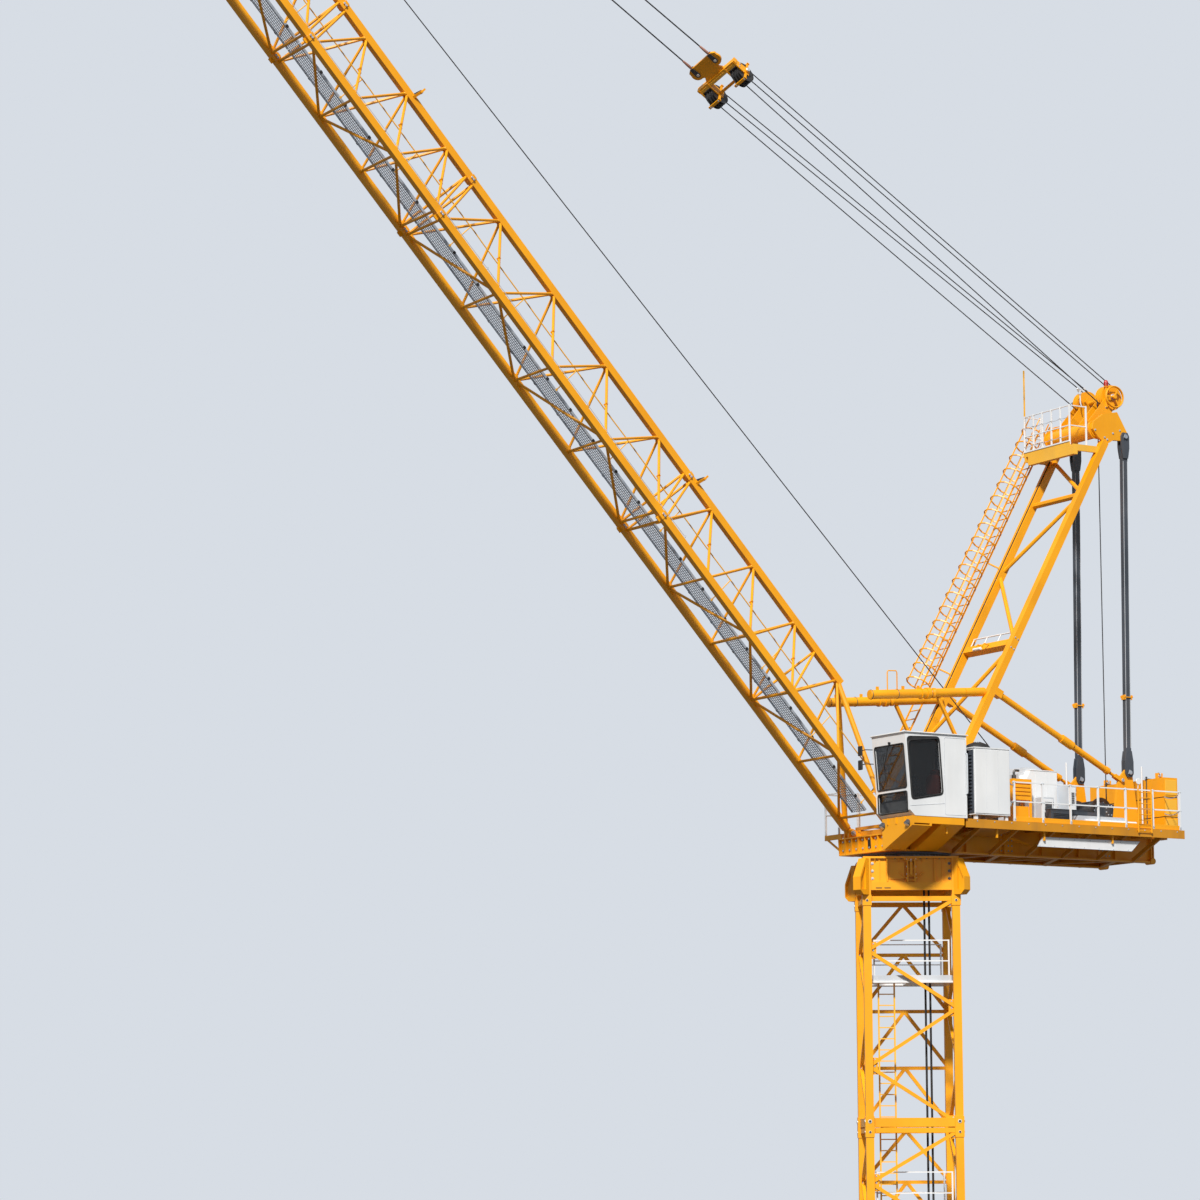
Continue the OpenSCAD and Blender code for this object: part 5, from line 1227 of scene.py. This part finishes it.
def ropes():
    falls, wraps, turns = [], [], []
    inverse = STAY.inverted()
    for g in BOTH:
        for i in (-1, 0, 1):
            side = -1 if i == 0 else 1
            y = g * 240 + i * 44
            p = (inverse @ (BLOCK @ (Vector((0, y, side * BLOCK_R)) * MM))) / MM
            falls.append(straight((0, y, side * HEAD_R), p))
            wraps.append(arc((0, y, 0), X, Z, HEAD_R, 90, 270, 16))
            turns.append(arc((0, y, 0), X, Z, BLOCK_R, -90, 90, 16))
    axle = STAY @ (X * BLOCK_REACH * MM)
    rope_piece("luffing_rope_falls", None, STAY, falls, ("luffing_ropes",),
               ("luffing_ropes", "floating_block", HEAD, axle))
    rope_piece("head_sheave_wraps", "upper", STAY, wraps)
    rope_piece("block_sheave_wraps", "floating_block", BLOCK, turns)
    head = HEAD / MM
    lead = straight((LUFF_X - DRUM_R, 196, RING + WINCH_Z), (head.x + HEAD_R, 196, head.z))
    rope_piece("lead_rope_line", "upper", WORLD, [lead], ("lead_rope",))
    rope_piece("hoist_rope_line", None, HOIST, [straight((0, 0, DRUM_R), (HOIST_L, 0, TIP_R), 60)],
               ("hoist_rope", "hoist_rope_end"), ("hoist_rope", "hoist_rope_end", WINCH, TOP_SHEAVE))
    tip, top = (22250, 0, -20), (21700, 0, 1126)
    over = arc(top, X, Z, TIP_R, 87.6, 25.6, 10) + arc(tip, X, Z, TIP_R, 25.6, -LUFF_ANGLE, 10)
    rope_piece("tip_rope", "jib", JIB, [over])
    t, h = TIP / MM, HOOK / MM
    rope_piece("hook_rope_falls", None, WORLD,
               [straight((t.x + s * TIP_R, 0, t.z), (h.x + s * TIP_R, 0, h.z)) for s in BOTH],
               ("hook_ropes",), ("hook_ropes", "hook_block", TIP, HOOK))
    rope_piece("hook_sheave_wrap", "hook_block", WORLD, [arc(h, X, Z, TIP_R, 180, 360, 20)])


def pendants():
    end = (STAY_END - HEAD).length / MM
    inverse = STAY.inverted()
    sockets = Piece("pendant_sockets", SOCKET, "pendants")
    eye = ((19, -14), (42, -14), (45, -8), (45, 8), (42, 14), (19, 14))
    lines = []
    for s in BOTH:
        p = (inverse @ (BLOCK @ (Vector((517, s * 160, 0)) * MM))) / MM
        q = Vector((end - 150, s * 160, 0))
        d = (q - p).normalized()
        lines.append(straight(p + d * 100, q, 8))
        sockets.spin([(17, 0), (19, 6), (18, 70), (14, 130), (10, 150)], p, d, 16)
        sockets.spin([(22, 0), (24, 8), (20, 60), (14, 130), (10, 150)], q + d * 110, -d, 16)
        ring = Vector((end, s * 160, 0))
        sockets.loft([circle(ring + Y * h, X, Z, r, 28) for r, h in eye], True)
        sockets.beam(q + d * 100, ring - X * 40, 24, 40)
    sockets.done()
    rope_piece("pendant_ropes", "pendants", STAY, lines, ("jib_pendants",), radius=9.0)


def block_details():
    bolts = Piece("floating_block_bolts", GALVANISED, "floating_block")
    pins = Piece("floating_block_pins", PIN, "floating_block")
    links = Piece("floating_block_links", DARK, "floating_block")
    for s in BOTH:
        pins.rod((0, s * 346, 0), (0, s * 366, 0), 30, 18, 4)
        for x in (120, 205):
            for z in (-26, 26):
                bolts.bolt((x, s * 328, z), Y * s, 8)
        for d in BOTH:
            for z in (-163, 163):
                bolts.bolt((0, s * 240 + d * 70, z + math.copysign(9, z)), Z * (1 if z > 0 else -1), 7)
        pins.rod((390, s * 160, -34), (390, s * 160, 34), 20, 18, 3)
        pins.rod((390, s * 160, 32), (390, s * 160, 44), 32, 18, 4)
        for z in (-30, 21):
            outline = [Vector((390 + 34 * math.cos(a), s * 160 + 34 * math.sin(a), z)) for a in
                       (math.radians(90 + 180 * k / 10) for k in range(11))]
            outline += [Vector((512, s * 160 - 22, z)), Vector((512, s * 160 + 22, z))]
            links.loft([outline, [p + Z * 9 for p in outline]])
    bright = Piece("floating_block_edge", YELLOW_PALE, "floating_block")
    for z in (-1, 1):
        bright.beam((187, -322, z * 44), (187, 322, z * 44), 40, 6)
    finish(bolts, pins, links, bright)


def hook_details():
    bolts = Piece("hook_block_bolts", GALVANISED, "hook_block")
    caps = Piece("hook_block_pins", PIN, "hook_block")
    for s in BOTH:
        caps.rod(Y * s * 86, Y * s * 98, 34, 20, 4)
        bolts.bolt_circle((0, s * 80, 0), X, Z, 78, 6, Y * s, 8)
        for x, z in ((-130, 60), (130, 60), (-120, -70), (120, -70), (-30, -220), (30, -220)):
            bolts.bolt((x, s * (50 if z > -200 else 66), z), Y * s, 9)
    nut = Piece("hook_nut", STEEL, "hook")
    nut.rod(Z * -190, Z * -196, 44, 20, 3)
    nut.rod(Z * -322, Z * -340, 42, 24, 5)
    latch = Piece("hook_latch", GALVANISED, "hook")
    latch.beam((-14, 0, -440), (-130, 0, -478), 26, 5)
    latch.rod((-16, -24, -440), (-16, 24, -440), 7, 10)
    finish(bolts, caps, nut, latch)


for step in (tower_joints, tower_bolts, tower_inside, base_details, tower_head_details, girder_details, sign_plate,
             railings, deck_details, cabinet_details, hood_details, winch_details, ballast_details, cab_windows,
             cab_fittings, cab_inside, frame_details, spoked_wheel, head_fittings, tie_details, backstop_details,
             jib_lattice_detail, jib_walkway, jib_lines, ropes, pendants, block_details, hook_details):
    step()


# Stage and light

def camera_ray(tree):
    return tree.nodes.new("ShaderNodeLightPath").outputs["Is Camera Ray"]


def make_stage():
    size = 400.0
    mesh = bpy.data.meshes.new("floor")
    mesh.from_pydata([(-size, -size, 0), (size, -size, 0), (size, size, 0), (-size, size, 0)], [], [(0, 1, 2, 3)])
    floor = bpy.data.objects.new("floor", mesh)
    scene.collection.objects.link(floor)
    material, tree, shader = new_material("pale_floor")
    seen = camera_ray(tree)
    colour = tree.nodes.new("ShaderNodeMix")
    colour.data_type = "RGBA"
    tree.links.new(seen, colour.inputs["Factor"])
    set_inputs(colour, {"A": (0.09, 0.09, 0.085, 1)})
    tree.links.new(ramp(tree, noise(tree, 0.2), (0.545, 0.555, 0.575), (0.555, 0.565, 0.585)), colour.inputs["B"])
    tree.links.new(colour.outputs["Result"], shader.inputs["Base Color"])
    set_inputs(shader, {"Roughness": 0.9})
    mesh.materials.append(material)
    world = bpy.data.worlds.new("sky")
    world.use_nodes = True
    background = world.node_tree.nodes["Background"]
    set_inputs(background, {"Color": (0.80, 0.85, 0.92, 1)})
    power = world.node_tree.nodes.new("ShaderNodeMapRange")
    set_inputs(power, {"To Min": 0.44, "To Max": 0.85})
    world.node_tree.links.new(camera_ray(world.node_tree), power.inputs["Value"])
    world.node_tree.links.new(power.outputs["Result"], background.inputs["Strength"])
    scene.world = world
    sun = bpy.data.lights.new("sun", "SUN")
    sun.energy = 4.7
    sun.angle = math.radians(6)
    sun.color = (1.0, 0.97, 0.92)
    lamp = bpy.data.objects.new("sun", sun)
    lamp.rotation_euler = (math.radians(47), 0, math.radians(136))
    scene.collection.objects.link(lamp)


make_stage()
scene.view_settings.view_transform = "Standard"
bpy.context.view_layer.update()
